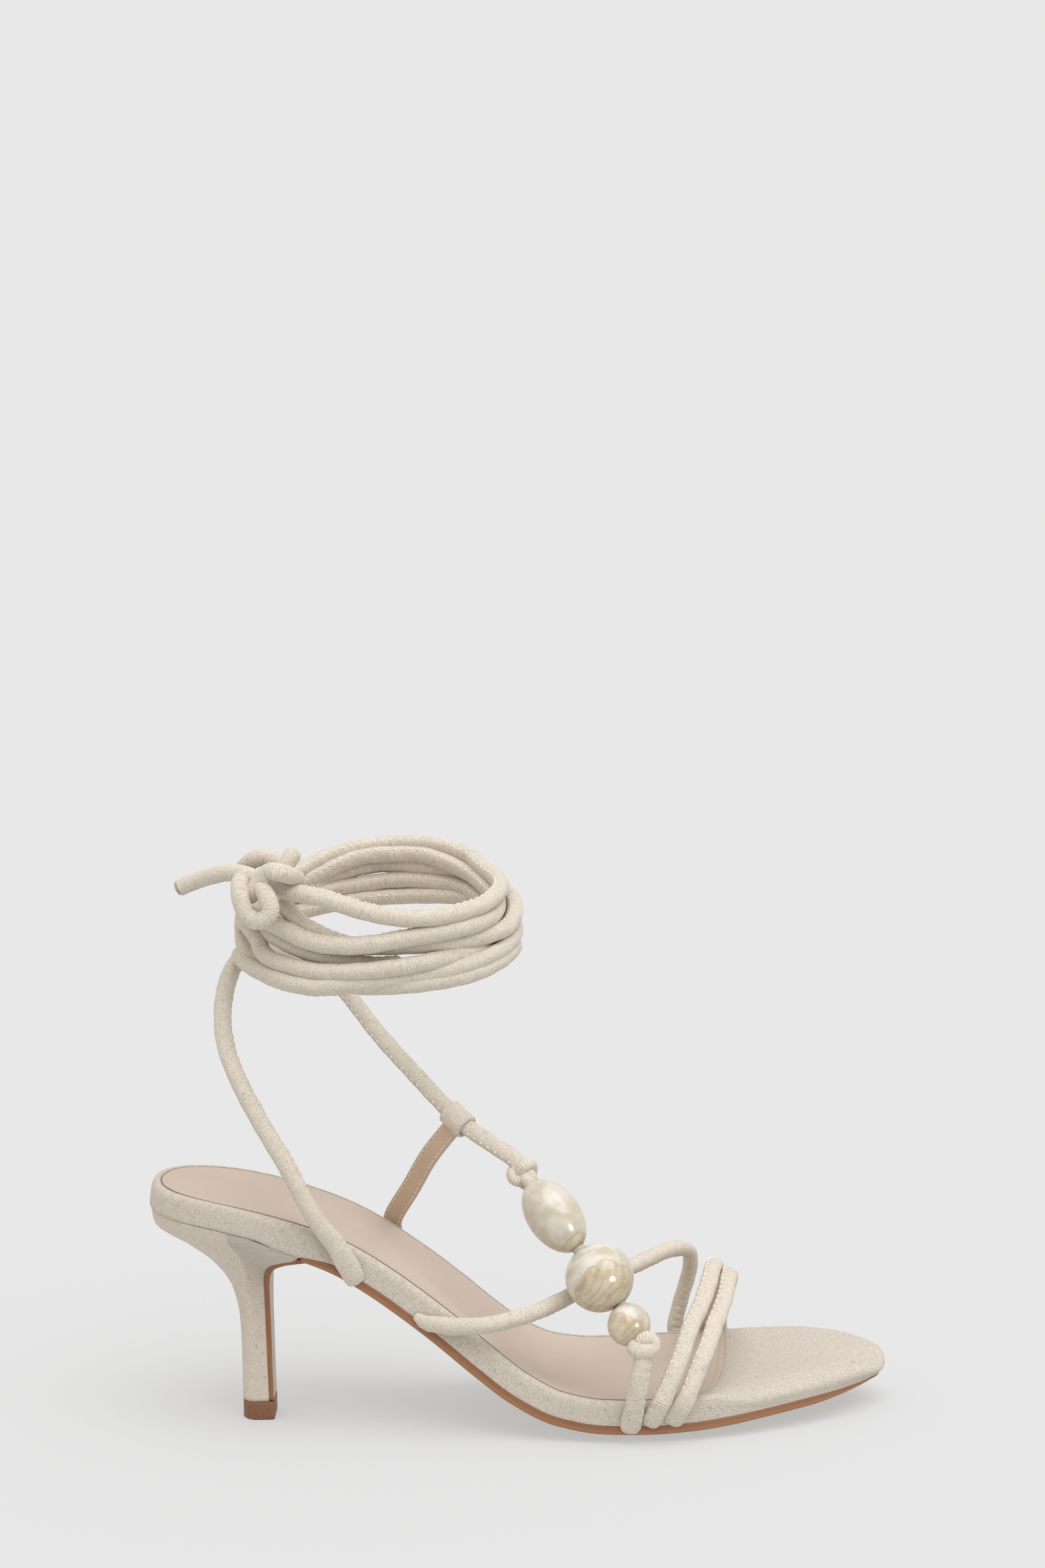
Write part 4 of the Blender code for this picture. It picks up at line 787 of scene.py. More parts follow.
def wheel(count, side, other):
    """Angles round a circle, and the way out at each."""
    turns = 2 * np.pi * np.arange(count) / count
    return turns, np.cos(turns)[:, None] * side + np.sin(turns)[:, None] * other


def spline(before, first, second, after, share):
    """A row a share of the way from first to second, on a smooth line through four rows."""
    return 0.5 * (2 * first + (second - before) * share
                  + (2 * before - 5 * first + 4 * second - after) * share ** 2
                  + (3 * first - before - 3 * second + after) * share ** 3)


def run_through(rows, spacing, closed=False):
    """A smooth run through rows of numbers, whose first three are a place, at an even spacing."""
    rows = np.asarray(rows, float)
    count = len(rows)
    fine = []
    for i in range(count if closed else count - 1):
        near = [(i + k) % count if closed else min(max(i + k, 0), count - 1) for k in (-1, 0, 1, 2)]
        fine += [spline(*rows[near], share) for share in np.arange(CURVE_STEPS) / CURVE_STEPS]
    fine.append(rows[0] if closed else rows[-1])
    fine = np.array(fine)
    along = walked(fine[:, :3])
    pieces = max(2, round(along[-1] / spacing))
    goals = np.linspace(0.0, along[-1], pieces + 1)
    even = np.column_stack([np.interp(goals, along, column) for column in fine.T])
    return even[:-1] if closed else even


# Cords
Lay = namedtuple("Lay", "spots along out side length")


def lay_cord(spots, seam, closed=False):
    """A cord's centre line with its direction, the side that carries the seam and the length so far."""
    ahead = np.roll(spots, -1, axis=0)
    behind = np.roll(spots, 1, axis=0)
    if not closed:
        ahead[-1] = spots[-1]
        behind[0] = spots[0]
    along = unit(ahead - behind)
    out = np.empty_like(spots)
    last = np.asarray(seam(spots[0]) if callable(seam) else seam, float)
    for i, way in enumerate(along):
        if callable(seam):
            last = np.asarray(seam(spots[i]), float)
        last = unit(last - way * last.dot(way))
        out[i] = last
    return Lay(spots, along, out, np.cross(along, out), walked(spots))


def waver(length, whole, seed):
    """An uneven wave along a cord, between about minus one and one, that meets itself at the ends."""
    wave = 0.0
    for part, pace, shift in ((0.45, 3.3, 1.7), (0.35, 7.9, 2.9), (0.2, 1.9, 4.1)):
        turns = max(1, round(whole / (2 * np.pi * pace)))
        wave = wave + part * np.sin(2 * np.pi * turns * length / whole + shift * seed)
    return wave


def cord_size(lay, whole, angle, seed, pucker):
    """A cord's thickness as a share: a gathered ridge along its seam, creases and unevenness."""
    pitch = whole / max(1, round(whole / PUCKER_PITCH))
    signed = np.where(angle > np.pi, angle - 2 * np.pi, angle)
    turned = np.abs(signed)
    length = lay.length[:, None]
    sway = waver(length, whole, seed)
    rumple = 0.7 + 0.45 * waver(length, whole, seed + 0.4)
    phase = 2 * np.pi * length / pitch + PUCKER_SLANT * signed + 0.7 * sway
    gather = 1.0 - (0.5 - 0.5 * np.cos(phase)) ** 2
    hollow = HOLLOW_DEEP * np.exp(-((turned - HOLLOW_AT) / HOLLOW_WIDE) ** 2)
    ridge = np.exp(-(turned / RIDGE_WIDE) ** 2) * (0.1 + 0.9 * gather) - hollow
    creases = 0.05 * np.sin(length / 1.31 + 3.0 * np.sin(angle + seed) + seed)
    return 1.0 + 0.016 * sway + 0.02 * np.cos(2 * angle + seed) + (pucker * rumple * ridge + creases) / CORD


def cord(name, run, seam, seed, closed=False, flat=None, pucker=PUCKER_HIGH, tips=(0.0, 0.0),
         sides=CORD_SIDES, square=2.0):
    """A stuffed linen cord along a run of places with half width and half thickness.

    The seam is a gathered ridge along one side. Flat gives the way of the thickness at a place, and square
    the section's form, from two for an ellipse upwards. Tips are the lengths over which open ends are
    rounded off.
    """
    lay = lay_cord(run[:, :3], seam, closed)
    whole = lay.length[-1] + (np.linalg.norm(lay.spots[0] - lay.spots[-1]) if closed else 0.0)
    angle = 2 * np.pi * np.arange(sides) / sides
    round_off = np.ones(len(run))
    for end, tip in zip((lay.length, lay.length[-1] - lay.length), tips):
        if tip:
            left = 1.0 - np.clip(end / tip, 0.0, 1.0)
            round_off *= np.sqrt(np.clip(1.0 - left ** 2, 0.0025, 1.0))
    spokes = lay.out[:, None] * np.cos(angle)[:, None] + lay.side[:, None] * np.sin(angle)[:, None]
    offset = spokes * cord_size(lay, whole, angle, seed, pucker)[..., None]
    thin_way = lay.out
    if flat:
        ways = np.array([flat(spot) for spot in lay.spots])
        ways -= lay.along * np.einsum("ij,ij->i", ways, lay.along)[:, None]
        thin_way = np.where(np.linalg.norm(ways, axis=1, keepdims=True) > 0.05, ways, lay.out)
    thin_way = unit(thin_way)
    wide_way = np.cross(lay.along, thin_way)
    thin_part = np.einsum("ijk,ik->ij", offset, thin_way)
    wide_part = np.einsum("ijk,ik->ij", offset, wide_way)
    powers = np.abs(thin_part) ** square + np.abs(wide_part) ** square
    fuller = np.hypot(thin_part, wide_part) / powers ** (1 / square)
    thin_part *= fuller * (run[:, 4] * round_off)[:, None]
    wide_part *= fuller * (run[:, 3] * round_off)[:, None]
    rows = lay.spots[:, None] + thin_way[:, None] * thin_part[..., None]
    rows = rows + wide_way[:, None] * wide_part[..., None]
    marks = np.append(lay.length, whole) if closed else lay.length
    threads = pairs(marks[:, None] + 40.0 * seed, np.append(angle, 2 * np.pi) * CORD)
    return lattice(name, rows, threads, ring=closed), lay


def sideways(spot):
    """The way of the thickness for cords that lie along the sole's side."""
    return SIDEWAYS


def over_foot(spot):
    """The way out from the foot's middle line, for straps that lie over it."""
    return spot - np.array((spot[0], 2.0, 12.0))


def stitches(name, places, long, thick):
    """Short threads lying on a surface; each place has a middle, the way it runs and the way out."""
    spots = []
    faces = []
    last = (len(STITCH_FORM) - 1) * STITCH_SIDES
    for middle, way, out in places:
        start = len(spots)
        _, ways = wheel(STITCH_SIDES, out, np.cross(way, out))
        for step, size in STITCH_FORM:
            heart = middle + way * (step * long / 2) - out * (STITCH_SAG * thick * step * step)
            spots += list(heart + ways * (size * thick / 2))
        for low in range(start, start + last, STITCH_SIDES):
            for k in range(STITCH_SIDES):
                j = (k + 1) % STITCH_SIDES
                faces.append((low + k, low + j, low + STITCH_SIDES + j, low + STITCH_SIDES + k))
        faces.append(tuple(range(start + STITCH_SIDES - 1, start - 1, -1)))
        faces.append(tuple(range(start + last, start + last + STITCH_SIDES)))
    return to_mesh(name, np.array(spots), faces, np.zeros((sum(map(len, faces)), 2)))


def seam_stitches(lay, start, end, radius):
    """Places for stitches along a cord's seam, one in each hollow between two puckers, clear of its ends."""
    pitch = lay.length[-1] / max(1, round(lay.length[-1] / PUCKER_PITCH))
    places = []
    at = pitch * (math.ceil(start / pitch) + 0.5)
    while at < lay.length[-1] - end:
        i = int(np.argmin(np.abs(lay.length - at)))
        out = lay.out[i] * math.cos(STITCH_TURN) + lay.side[i] * math.sin(STITCH_TURN)
        way = unit(lay.along[i] + STITCH_LEAN * np.cross(lay.along[i], out))
        places.append((lay.spots[i] + out * (radius + STITCH_PROUD), way, out))
        at += pitch
    return places


def sew(name, places, size=STITCH):
    """Stitches at their places as a piece of the scene."""
    piece(stitches(name, places, *size), SEAM_THREAD, "linen")


def whole_cord(places, wide=CORD, thin=None):
    """Rows of a run with one section, round if no thickness is given."""
    return [(*place, wide, thin or wide) for place in places]


def linen_cord(name, rows, seam, seed, *nodes, step=CORD_STEP, closed=False, **shape):
    """A linen cord through rows of places as a piece of the scene, and how it lies."""
    mesh, lay = cord(name, run_through(rows, step, closed), seam, seed, closed, **shape)
    return piece(mesh, CORD_LINEN, "linen", *nodes), lay


# The sole's form
class Profile:
    """A table's column as a smooth function of its key column, without overshoot."""

    def __init__(self, rows, name, key="x"):
        self.keys = [getattr(row, key) for row in rows]
        self.values = [getattr(row, name) for row in rows]
        rates = [(b - a) / (d - c) for a, b, c, d in
                 zip(self.values, self.values[1:], self.keys, self.keys[1:])]
        inner = [2 * a * b / (a + b) if a * b > 0 else 0.0 for a, b in zip(rates, rates[1:])]
        self.slopes = [rates[0]] + inner + [rates[-1]]

    def __call__(self, at):
        last = len(self.keys) - 1
        if at <= self.keys[0]:
            return self.values[0] + self.slopes[0] * (at - self.keys[0])
        if at >= self.keys[last]:
            return self.values[last] + self.slopes[last] * (at - self.keys[last])
        low = bisect(self.keys, at) - 1
        step = self.keys[low + 1] - self.keys[low]
        share = (at - self.keys[low]) / step
        square = share * share
        cube = square * share
        value = (2 * cube - 3 * square + 1) * self.values[low]
        value += (cube - 2 * square + share) * step * self.slopes[low]
        value += (3 * square - 2 * cube) * self.values[low + 1]
        return value + (cube - square) * step * self.slopes[low + 1]


RIM, RISE, OUTER, INNER, DISH = (Profile(SOLE, name) for name in ("rim", "rise", "outer", "inner", "dish"))
FRONT_LINE = Profile(SOCK_FRONT, "x", "y")


def waist_drop(x, up):
    """How far a place on the footbed's lower edge is drawn down where heel and waist meet."""
    near = 1.0 - smooth(abs(x - WAIST_AT), WAIST_FLAT, WAIST_REACH)
    return WAIST_DEEP * near * smooth(-up, *WAIST_FROM) * (1.0 - smooth(-up, *WAIST_TO))


def middle_y(x):
    """The sole's middle line."""
    return (INNER(x) - OUTER(x)) / 2.0


def half_width(x, side):
    """The sole's half width, on the outer side if side is negative."""
    return (OUTER if side < 0 else INNER)(x)


def rim_slope(x):
    """How steeply the rim rises at a station."""
    return (RIM(x + 1.0) - RIM(x - 1.0)) / 2.0


def sole_point(x, y, up, share):
    """A place over the sole: up is measured square to it, share runs from the rim to the middle line."""
    slope = rim_slope(x)
    size = math.hypot(1.0, slope)
    half = max((OUTER(x) + INNER(x)) / 2.0, 6.0)
    across = max(-1.0, min(1.0, (y - middle_y(x)) / half))
    dish = DISH(x) * (1.0 - (1.0 - min(max(share, 0.0), 1.0)) ** 2)
    lift = up - waist_drop(x, up) - dish + RISE(x) * (0.5 + 0.5 * across)
    return np.array((x - lift * slope / size, y, RIM(x) + lift / size))


def inward(x, y, spine, share):
    """A plan place a share of the way from the sole's edge to the end of its row."""
    return x + (spine - x) * share, y + (middle_y(spine) - y) * share


def row_reach(x, y, spine):
    """How long a row is, from the sole's edge to its end."""
    return math.hypot(spine - x, middle_y(spine) - y)


def outline(steps):
    """The sole's edge as a closed loop of x, y and the x of the middle line that each row runs to."""
    sides = []
    for side, column in ((-1, "outer"), (1, "inner")):
        rows = [(row.x, side * getattr(row, column), row.spine) for row in SOLE]
        heel = (rows[1][0], -rows[1][1], rows[0][2])
        toe = (rows[-2][0], 2 * rows[-1][1] - rows[-2][1], rows[-1][2])
        rows = np.array([heel] + rows + [toe])
        run = []
        for near in zip(rows, rows[1:], rows[2:], rows[3:]):
            run += [spline(*near, share) for share in np.arange(steps) / steps]
        sides.append(run + [rows[-2]])
    return np.array(sides[0] + sides[1][::-1][1:-1])


OUTLINE = outline(8)
EDGE_WALK = walked(np.vstack((OUTLINE, OUTLINE[:1]))[:, :2])


def ring_places(inset, toe_more=0.0):
    """Plan places at an inset from the sole's edge, larger at the toe, with their shares of the way in."""
    for x, y, spine in OUTLINE:
        share = (inset + toe_more * toe_share(x)) / row_reach(x, y, spine)
        yield (*inward(x, y, spine, share), share)


def fine_profile(points, count):
    """A rim profile of inset and height pairs as a smooth line of many points."""
    rows = run_through([(inset, up, 0.0) for inset, up in points], 0.02)
    pick = np.linspace(0, len(rows) - 1, count).round().astype(int)
    return rows[pick, :2]


# Footbed, sock, outsole and heel
def linen_level(x, y):
    """How far the footbed's top lies under its rim: sunk under the sock, flush ahead of it."""
    return LINEN_RISE * smooth(x - FRONT_LINE(y), *LINEN_STEP) - LINEN_SUNK


def groove_level(x, y, deep):
    """The groove beside the sock, which ends where the bare toe starts."""
    return -RIM_SUNK - deep * (1.0 - smooth(x - FRONT_LINE(y), *BARE_STEP))


def toe_share(x):
    """How far along the toe a station lies, from its start to the tip."""
    return smooth(x, *TOE_REACH)


def toe_drop(x, y, inset):
    """How far the toe's rim sinks towards the tip and rolls over at its edge, more so on the outer side."""
    near = 1.0 - smooth(y - middle_y(x), *TOE_SIDES)
    tip = toe_share(x)
    roll = ROLL_FAR + ROLL_NEAR * near * (1.0 - ROLL_TIP_LESS * tip)
    roll = smooth(x, *ROLL_START) * roll + ROLL_TIP * tip ** 2
    sink = SINK * smooth(x, *SINK_START) ** SINK_PACE * (SINK_FAR + (1.0 - SINK_FAR) * near)
    return sink * (1.0 - smooth(inset, *SINK_REACH)) + roll * max(0.0, 1.0 - inset / ROLL_REACH) ** 3


def footbed_cover():
    """The linen round the footbed, with a hollow for the sock and the bare toe ahead of it."""
    low = -FOOTBED_THICK
    side = fine_profile(RIM_UPPER + [(inset, low + up) for inset, up in RIM_LOWER], RIM_STEPS)
    walk = walked(side)
    rows = []
    plan = []
    for share in TOP_SHARES:
        places = [inward(*row, share) for row in OUTLINE]
        rows.append([])
        for (x, y), row in zip(places, OUTLINE):
            drop = toe_drop(*row[:2], share * row_reach(*row))
            rows[-1].append(sole_point(x, y, linen_level(x, y) - drop, share))
        plan.append([(y, x) for x, y in places])
    for inset, deep in GROOVE:
        places = list(ring_places(inset))
        levels = [groove_level(x, y, deep) - toe_drop(x, y, inset) for x, y, share in places]
        rows.append([sole_point(x, y, level, share) for (x, y, share), level in zip(places, levels)])
        plan.append([(y, x) for x, y, share in places])
    for (inset, up), step in zip(side, walk):
        left = max(0.0, 1.0 + up / FOOTBED_THICK)
        under = TOE_UNDERCUT * (1.0 - smooth(up, low, UNDERCUT_FROM))
        places = ring_places(inset, under)
        rows.append([sole_point(x, y, up - left * toe_drop(x, y, inset), share) for x, y, share in places])
        plan.append([(y, x) for x, y, share in ring_places(RIM_UPPER[0][0] - step)])
    for share in UNDER_SHARES:
        rows.append([sole_point(*inward(*row, share), low, share) for row in OUTLINE])
        plan.append(plan[-1])
    flat = np.array(plan, float)
    flat = np.concatenate((flat, flat[:, :1]), axis=1)
    first = len(TOP_SHARES) + len(GROOVE)
    along = np.concatenate((np.zeros(first), walk, walk[-1] + np.array((8.0, 16.0, 24.0))))
    belt = pairs(EDGE_WALK, along[:, None])

    def cloth(i, j):
        """Ribs square to the edge along the sides, and lengthwise ones over the toe."""
        front = BELT_OUTER if j < len(OUTLINE) / 2 else BELT_INNER
        return belt if i >= first and OUTLINE[j, 0] < front else flat
    mesh = lattice("footbed_cover", rows, flat, ends=(False, False), choice=cloth)
    piece(mesh, COVER_LINEN, "linen", "footbed")


def sock_loop():
    """The sock's outline: the sole's edge inset, cut off at the front line, each place with its row's end."""
    kept = []
    for (x, y, _), spine in zip(ring_places(SOCK_INSET), OUTLINE[:, 2]):
        if x < FRONT_LINE(y) - 0.3:
            kept.append((x, y, min(spine, SOCK_MIDDLE)))
    turn = next(i for i, (first, second) in enumerate(zip(kept, kept[1:])) if second[1] - first[1] > 30.0)
    ends = (kept[turn][1] + 0.5, kept[turn + 1][1] - 0.5)
    front = [(FRONT_LINE(y), y, SOCK_MIDDLE) for y in np.linspace(*ends, 60)]
    return kept[:turn + 1] + front + kept[turn + 1:]


def sock():
    """The beige sock, a little rounded at its edge, with a pressed line inside the front edge."""
    loop = sock_loop()
    rows = [[sock_place(*row, share, -SOCK_THICK) for row in loop] for share in (1.0, 0.6, 0.2)]
    for inset, up in SOCK_RIM:
        rows.append([sock_place(*row, inset / row_reach(*row), up) for row in loop])
    rim, top = SOCK_RIM[-1]
    starts = [rim / row_reach(*row) for row in loop]
    for part in SOCK_PARTS:
        rows.append([sock_place(*row, start + (1.0 - start) * part, top) for row, start in zip(loop, starts)])
    rows = np.array(rows)
    threads = np.concatenate((rows[..., :2], rows[:, :1, :2]), axis=1)
    piece(lattice("sock", rows, threads, ends=(False, False)), SOCK_LEATHER, "sock", "insole")


def sock_edge():
    """The sock's cut edge, fuller on the outer side, where it stands a little over the linen: dark partly as
    raw-cut leather and partly as painted shade of the crevice between sock and linen.
    """
    loop = np.array(sock_loop())
    middle = np.array([middle_y(spine) for spine in loop[:, 2]])
    out = unit(np.column_stack((loop[:, 0] - loop[:, 2], loop[:, 1] - middle)))
    front = np.array([x - FRONT_LINE(y) for x, y in loop[:, :2]])
    near = (1.0 - smooth(loop[:, 1] - middle, *EDGE_NEAR)) * (1.0 - smooth(front, *EDGE_FRONT))
    size = SOCK_EDGE_FAR + (SOCK_EDGE - SOCK_EDGE_FAR) * near
    rows = []
    for angle in 2 * np.pi * np.arange(EDGE_SIDES) / EDGE_SIDES:
        rows.append([])
        for (x, y, spine), (right, ahead), radius in zip(loop, out, size):
            step = radius * math.cos(angle) - EDGE_SUNK
            up = radius * math.sin(angle)
            rows[-1].append(sock_place(x + right * step, y + ahead * step, spine, 0.0, up))
    threads = np.zeros((len(rows) + 1, len(loop) + 1, 2))
    piece(lattice("sock_edge", rows, threads, ring=True), CUT_EDGE_AND_SHADE, "sock")


def sock_place(x, y, spine, share, up):
    """A place on the sock, a share of the way inwards, lifted at the front with a line pressed in."""
    px, py = inward(x, y, spine, share)
    ahead = px - FRONT_LINE(py)
    lift = SOCK_LIFT * smooth(ahead, *SOCK_LIFT_STEP)
    line = PRESSED_DEEP * math.exp(-((ahead + PRESSED_AT) / PRESSED_WIDE) ** 2)
    over = 1.0 - abs(py - middle_y(px)) / ((OUTER(px) + INNER(px)) / 2.0)
    round_heel = 1.0 - math.hypot(px - SEAT_MIDDLE, py) / HEEL_ROUND
    return sole_point(px, py, up + lift - line, over if px > SEAT_MIDDLE else round_heel)


def outsole_sheet():
    """The outsole with a rounded lower edge and a belly, cut off square in front of the heel."""
    top = -FOOTBED_THICK - GAP
    low = top - OUTSOLE_THICK
    lip = -FOOTBED_THICK + OUTSOLE_LIP
    kept = lip - 0.3
    rows = []
    marks = []
    for share in (1.0, 0.5, 0.1):
        rows.append([sole_point(*inward(*row, share), top, share) for row in OUTLINE])
        marks.append(-3.0)
    rim = [(inset, lip + up) for inset, up in SHEET_LIP]
    rim += [(inset, low + up) for inset, up in SHEET_FOOT]
    for inset, up in rim:
        rows.append([])
        for x, y, share in ring_places(inset, TOE_UNDERCUT):
            rows[-1].append(sole_point(x, y, up + (kept - up) * TOE_THINNER * toe_share(x), share))
        marks.append(lip - up + max(0.0, inset - 0.5))
    for share in SHEET_SHARES:
        belly = OUTSOLE_BELLY * smooth(share, 0.0, 0.5)
        rows.append([])
        for row in OUTLINE:
            x, y = inward(*row, share)
            thin = TOE_THINNER * toe_share(x) * (kept - low)
            rows[-1].append(sole_point(x, y, low - belly + thin, share))
        marks.append(4.0 + 25.0 * share)
    rows = np.array(rows)
    rows[..., 2] = np.maximum(rows[..., 2], 0.0)
    mesh = lattice("outsole_sheet", rows, pairs(EDGE_WALK, np.array(marks)[:, None]), ends=(False, False))
    bm = bmesh.new()
    bm.from_mesh(mesh)
    bmesh.ops.remove_doubles(bm, verts=bm.verts, dist=SHEET_WELD)
    cut = Vector(((SEAT_FRONT + GAP - ORIGIN[0]) * MM, 0.0, 0.0))
    split = bmesh.ops.bisect_plane(bm, geom=bm.verts[:] + bm.edges[:] + bm.faces[:], plane_co=cut,
                                   plane_no=(-1.0, 0.0, 0.0), clear_outer=True)
    bmesh.ops.holes_fill(bm, edges=[e for e in split["geom_cut"] if isinstance(e, bmesh.types.BMEdge)])
    bm.to_mesh(mesh)
    bm.free()
    piece(mesh, SOLE_TAN, "outsole", "outsole")


def outsole_flap():
    """The sheet's end, drawn up the heel's front face and running into the sole under the waist."""
    corners = flap_corners()
    rows = []
    fine = run_through([(row.x, row.half, row.z) for row in FLAP], FLAP_STEP)
    ways = unit(np.gradient(fine[:, [0, 2]], axis=0))
    thick = np.linspace(FLAP_THICK, OUTSOLE_THICK, len(fine)) / 2
    for (x, side, z), (run, rise), half in zip(fine, ways, thick):
        steps = [(k * side, half * t - FLAP_SNUG) for k, t in corners]
        rows.append([(x + rise * out, y, z - run * out) for y, out in steps])
    middle = -FOOTBED_THICK - GAP - OUTSOLE_THICK / 2
    half = OUTSOLE_THICK / 2 + FLAP_PROUD
    for x in FLAP_RUN:
        rows.append([])
        for k, t in corners:
            y = k * (half_width(x, k) - FLAP_INSET)
            belly = OUTSOLE_BELLY * smooth(1.0 - abs(k), 0.0, 0.5) if t > 0 else 0.0
            rows[-1].append(sole_point(x, y, middle - half * t - belly, 1.0 - abs(k)))
    walk = walked(np.array(rows)[:, 0])
    face = [5.0 if abs(k) < 0.96 and t > 0 else 1.0 + 0.6 * t for k, t in corners]
    piece(lattice("outsole_flap", rows, pairs(walk[:, None], np.array(face + face[:1]))), SOLE_TAN, "outsole")


def flap_corners():
    """The flap's section: shares of its half width and of its half thickness, from the back face round."""
    shares = np.linspace(-0.97, 0.97, 15)
    right = [(0.995, -0.9), (1.0, -0.6), (1.0, 0.6), (0.995, 0.9)]
    left = [(-k, t) for k, t in right[::-1]]
    return [(k, -1.0) for k in shares] + right + [(k, 1.0) for k in shares[::-1]] + left


def heel_section(back, front, half):
    """One closed section of the heel, round at the back, with each place's share forward."""
    widest = back + HEEL_WIDEST * (front - back)
    row = []
    for angle in np.radians(np.linspace(-90.0, 90.0, 2 * HEEL_MIDDLE + 1)):
        x = widest - (widest - back) * math.cos(angle) ** HEEL_FULL
        row.append((x, half * math.sin(angle), 0.5 - 0.5 * math.cos(angle)))
    ahead = [(widest + (front - widest) * share, half * wide, 0.5 + 0.5 * share) for share, wide in HEEL_SIDE]
    face = [(front, half * wide, 1.0) for wide in HEEL_FACE]
    return row + ahead + face + [(x, -y, share) for x, y, share in ahead[::-1]]


def seat_section():
    """The heel's top edge under the footbed's, place for place with the stem's sections."""
    back = SOLE[0].x + SEAT_INSET
    places = []
    for x, y, share in heel_section(back, SEAT_END, 1.0):
        if share < 0.5:
            angle = math.asin(max(-1.0, min(1.0, y)))
            x = SEAT_MIDDLE - (SEAT_MIDDLE - back) * math.cos(angle)
            y *= OUTER(SEAT_MIDDLE) - SEAT_INSET
        else:
            x = SEAT_MIDDLE + (SEAT_END - SEAT_MIDDLE) * (2.0 * share - 1.0)
            y *= half_width(x, y) - SEAT_INSET
        places.append(sole_point(x, y, -FOOTBED_THICK - SEAT_DROP, SEAT_DROP))
    return np.array(places)


def heel_cover():
    """The covered heel: slim below, flared into the seat, its top edge under the footbed's."""
    back, front, half = (Profile(HEEL, name, "z") for name in ("back", "front", "half"))
    flare_back, flare_front = (Profile(table, "out", "high") for table in (FLARE_BACK, FLARE_FRONT))
    rows = []
    for z in np.linspace(HEEL[0].z + 0.1, HEEL[-1].z, 36):
        rows.append([(x, y, z) for x, y, share in heel_section(back(z), front(z), half(z))])
    neck = np.array(rows[-1])
    ahead = np.array([share for x, y, share in heel_section(0.0, 1.0, 1.0)])
    seat = seat_section()
    for high in np.linspace(0.0, 1.0, 41)[1:]:
        out = flare_back(high) * (1.0 - ahead) + flare_front(high) * ahead
        row = neck + (seat - neck) * out[:, None]
        row[:, 2] = neck[:, 2] + (seat[:, 2] - neck[:, 2]) * high
        rows.append(row)
    rows = np.array(rows)
    round_it = np.linalg.norm(np.diff(np.concatenate((rows, rows[:, :1]), axis=1), axis=1), axis=2)
    walk = np.concatenate((np.zeros((len(rows), 1)), np.cumsum(round_it, axis=1)), axis=1)
    walk -= walk[:, HEEL_MIDDLE:HEEL_MIDDLE + 1]
    turn = math.radians(HEEL_BIAS)
    up = rows[:, HEEL_MIDDLE, 2][:, None]
    across = walk * math.cos(turn) + up * math.sin(turn)
    threads = np.stack((across, up * math.cos(turn) - walk * math.sin(turn)), axis=-1)
    piece(lattice("heel_cover", rows, threads), HEEL_LINEN, "linen", "heel")


def heel_tip():
    """The top piece under the heel, with softened edges."""
    depth = TIP_FRONT - TIP_BACK
    plan = []
    for angle in math.pi * (np.arange(33) / 32 - 0.5):
        plan.append((TIP_BACK + 0.5 * depth - 0.5 * depth * math.cos(angle), TIP_HALF * math.sin(angle)))
    corner = [(TIP_FRONT - back, TIP_HALF - side) for back, side in TIP_CORNER]
    plan = np.array(plan + corner + [(TIP_FRONT, 0.0)] + [(x, -y) for x, y in corner[::-1]])
    centre = np.array((TIP_BACK + depth / 2, 0.0))
    rows = []
    for z, inset in TIP_LEVELS:
        shrunk = centre + (plan - centre) * (1.0 - inset / 5.0)
        rows.append(np.column_stack((shrunk, np.full(len(plan), z))))
    threads = np.zeros((len(rows), len(plan) + 1, 2))
    piece(lattice("heel_top_piece", rows, threads), TIP_BROWN, "tip", "heel_tip")


# Straps
def tucked(spot):
    """A cord's flattened end, from the footbed's side round into the seam over the outsole."""
    rows = []
    for out, up, wide, thin in TUCKED:
        x = spot.x + TUCK_LEAN * up
        edge = half_width(x, spot.side)
        rows.append((*sole_point(x, spot.side * (edge + out), up - FOOTBED_THICK, -out / edge), wide, thin))
    return rows


def strap(name, rows, seam, seed, flat, plain=PLAIN_END, **shape):
    """A cord strap between two flattened ends, and its stitches' places, none on the last plain stretch."""
    _, lay = linen_cord(name + "_cord", rows, seam, seed, name, flat=flat, tips=(0.6, 0.6), **shape)
    return seam_stitches(lay, 9.0, plain, rows[len(rows) // 2][3])


def straps():
    """The two straps over the toes, the one that crosses the foot, and their stitches."""
    toe = {"pucker": TOE_PUCKER, "square": TOE_SQUARE}
    rows = FRONT_TONGUE + whole_cord(TOE_FRONT, TOE_WIDE, TOE_THIN) + tucked(TUCK_FRONT_INNER)
    places = strap("toe_strap_front", rows, (-1.0, -0.1, 0.0), 1, over_foot, **toe)
    rows = REAR_TONGUE + whole_cord(TOE_REAR, TOE_WIDE, TOE_THIN) + tucked(TUCK_REAR_INNER)
    places += strap("toe_strap_rear", rows, (-1.0, -0.25, 0.0), 2, over_foot, **toe)
    rows = CROSS_TONGUE + whole_cord(CROSS, CROSS_CORD) + tucked(TUCK_CROSS_INNER)
    places += strap("cross_strap", rows, (-0.3, 0.2, -1.0), 3, sideways, CROSS_PLAIN)
    sew("strap_stitches", places)


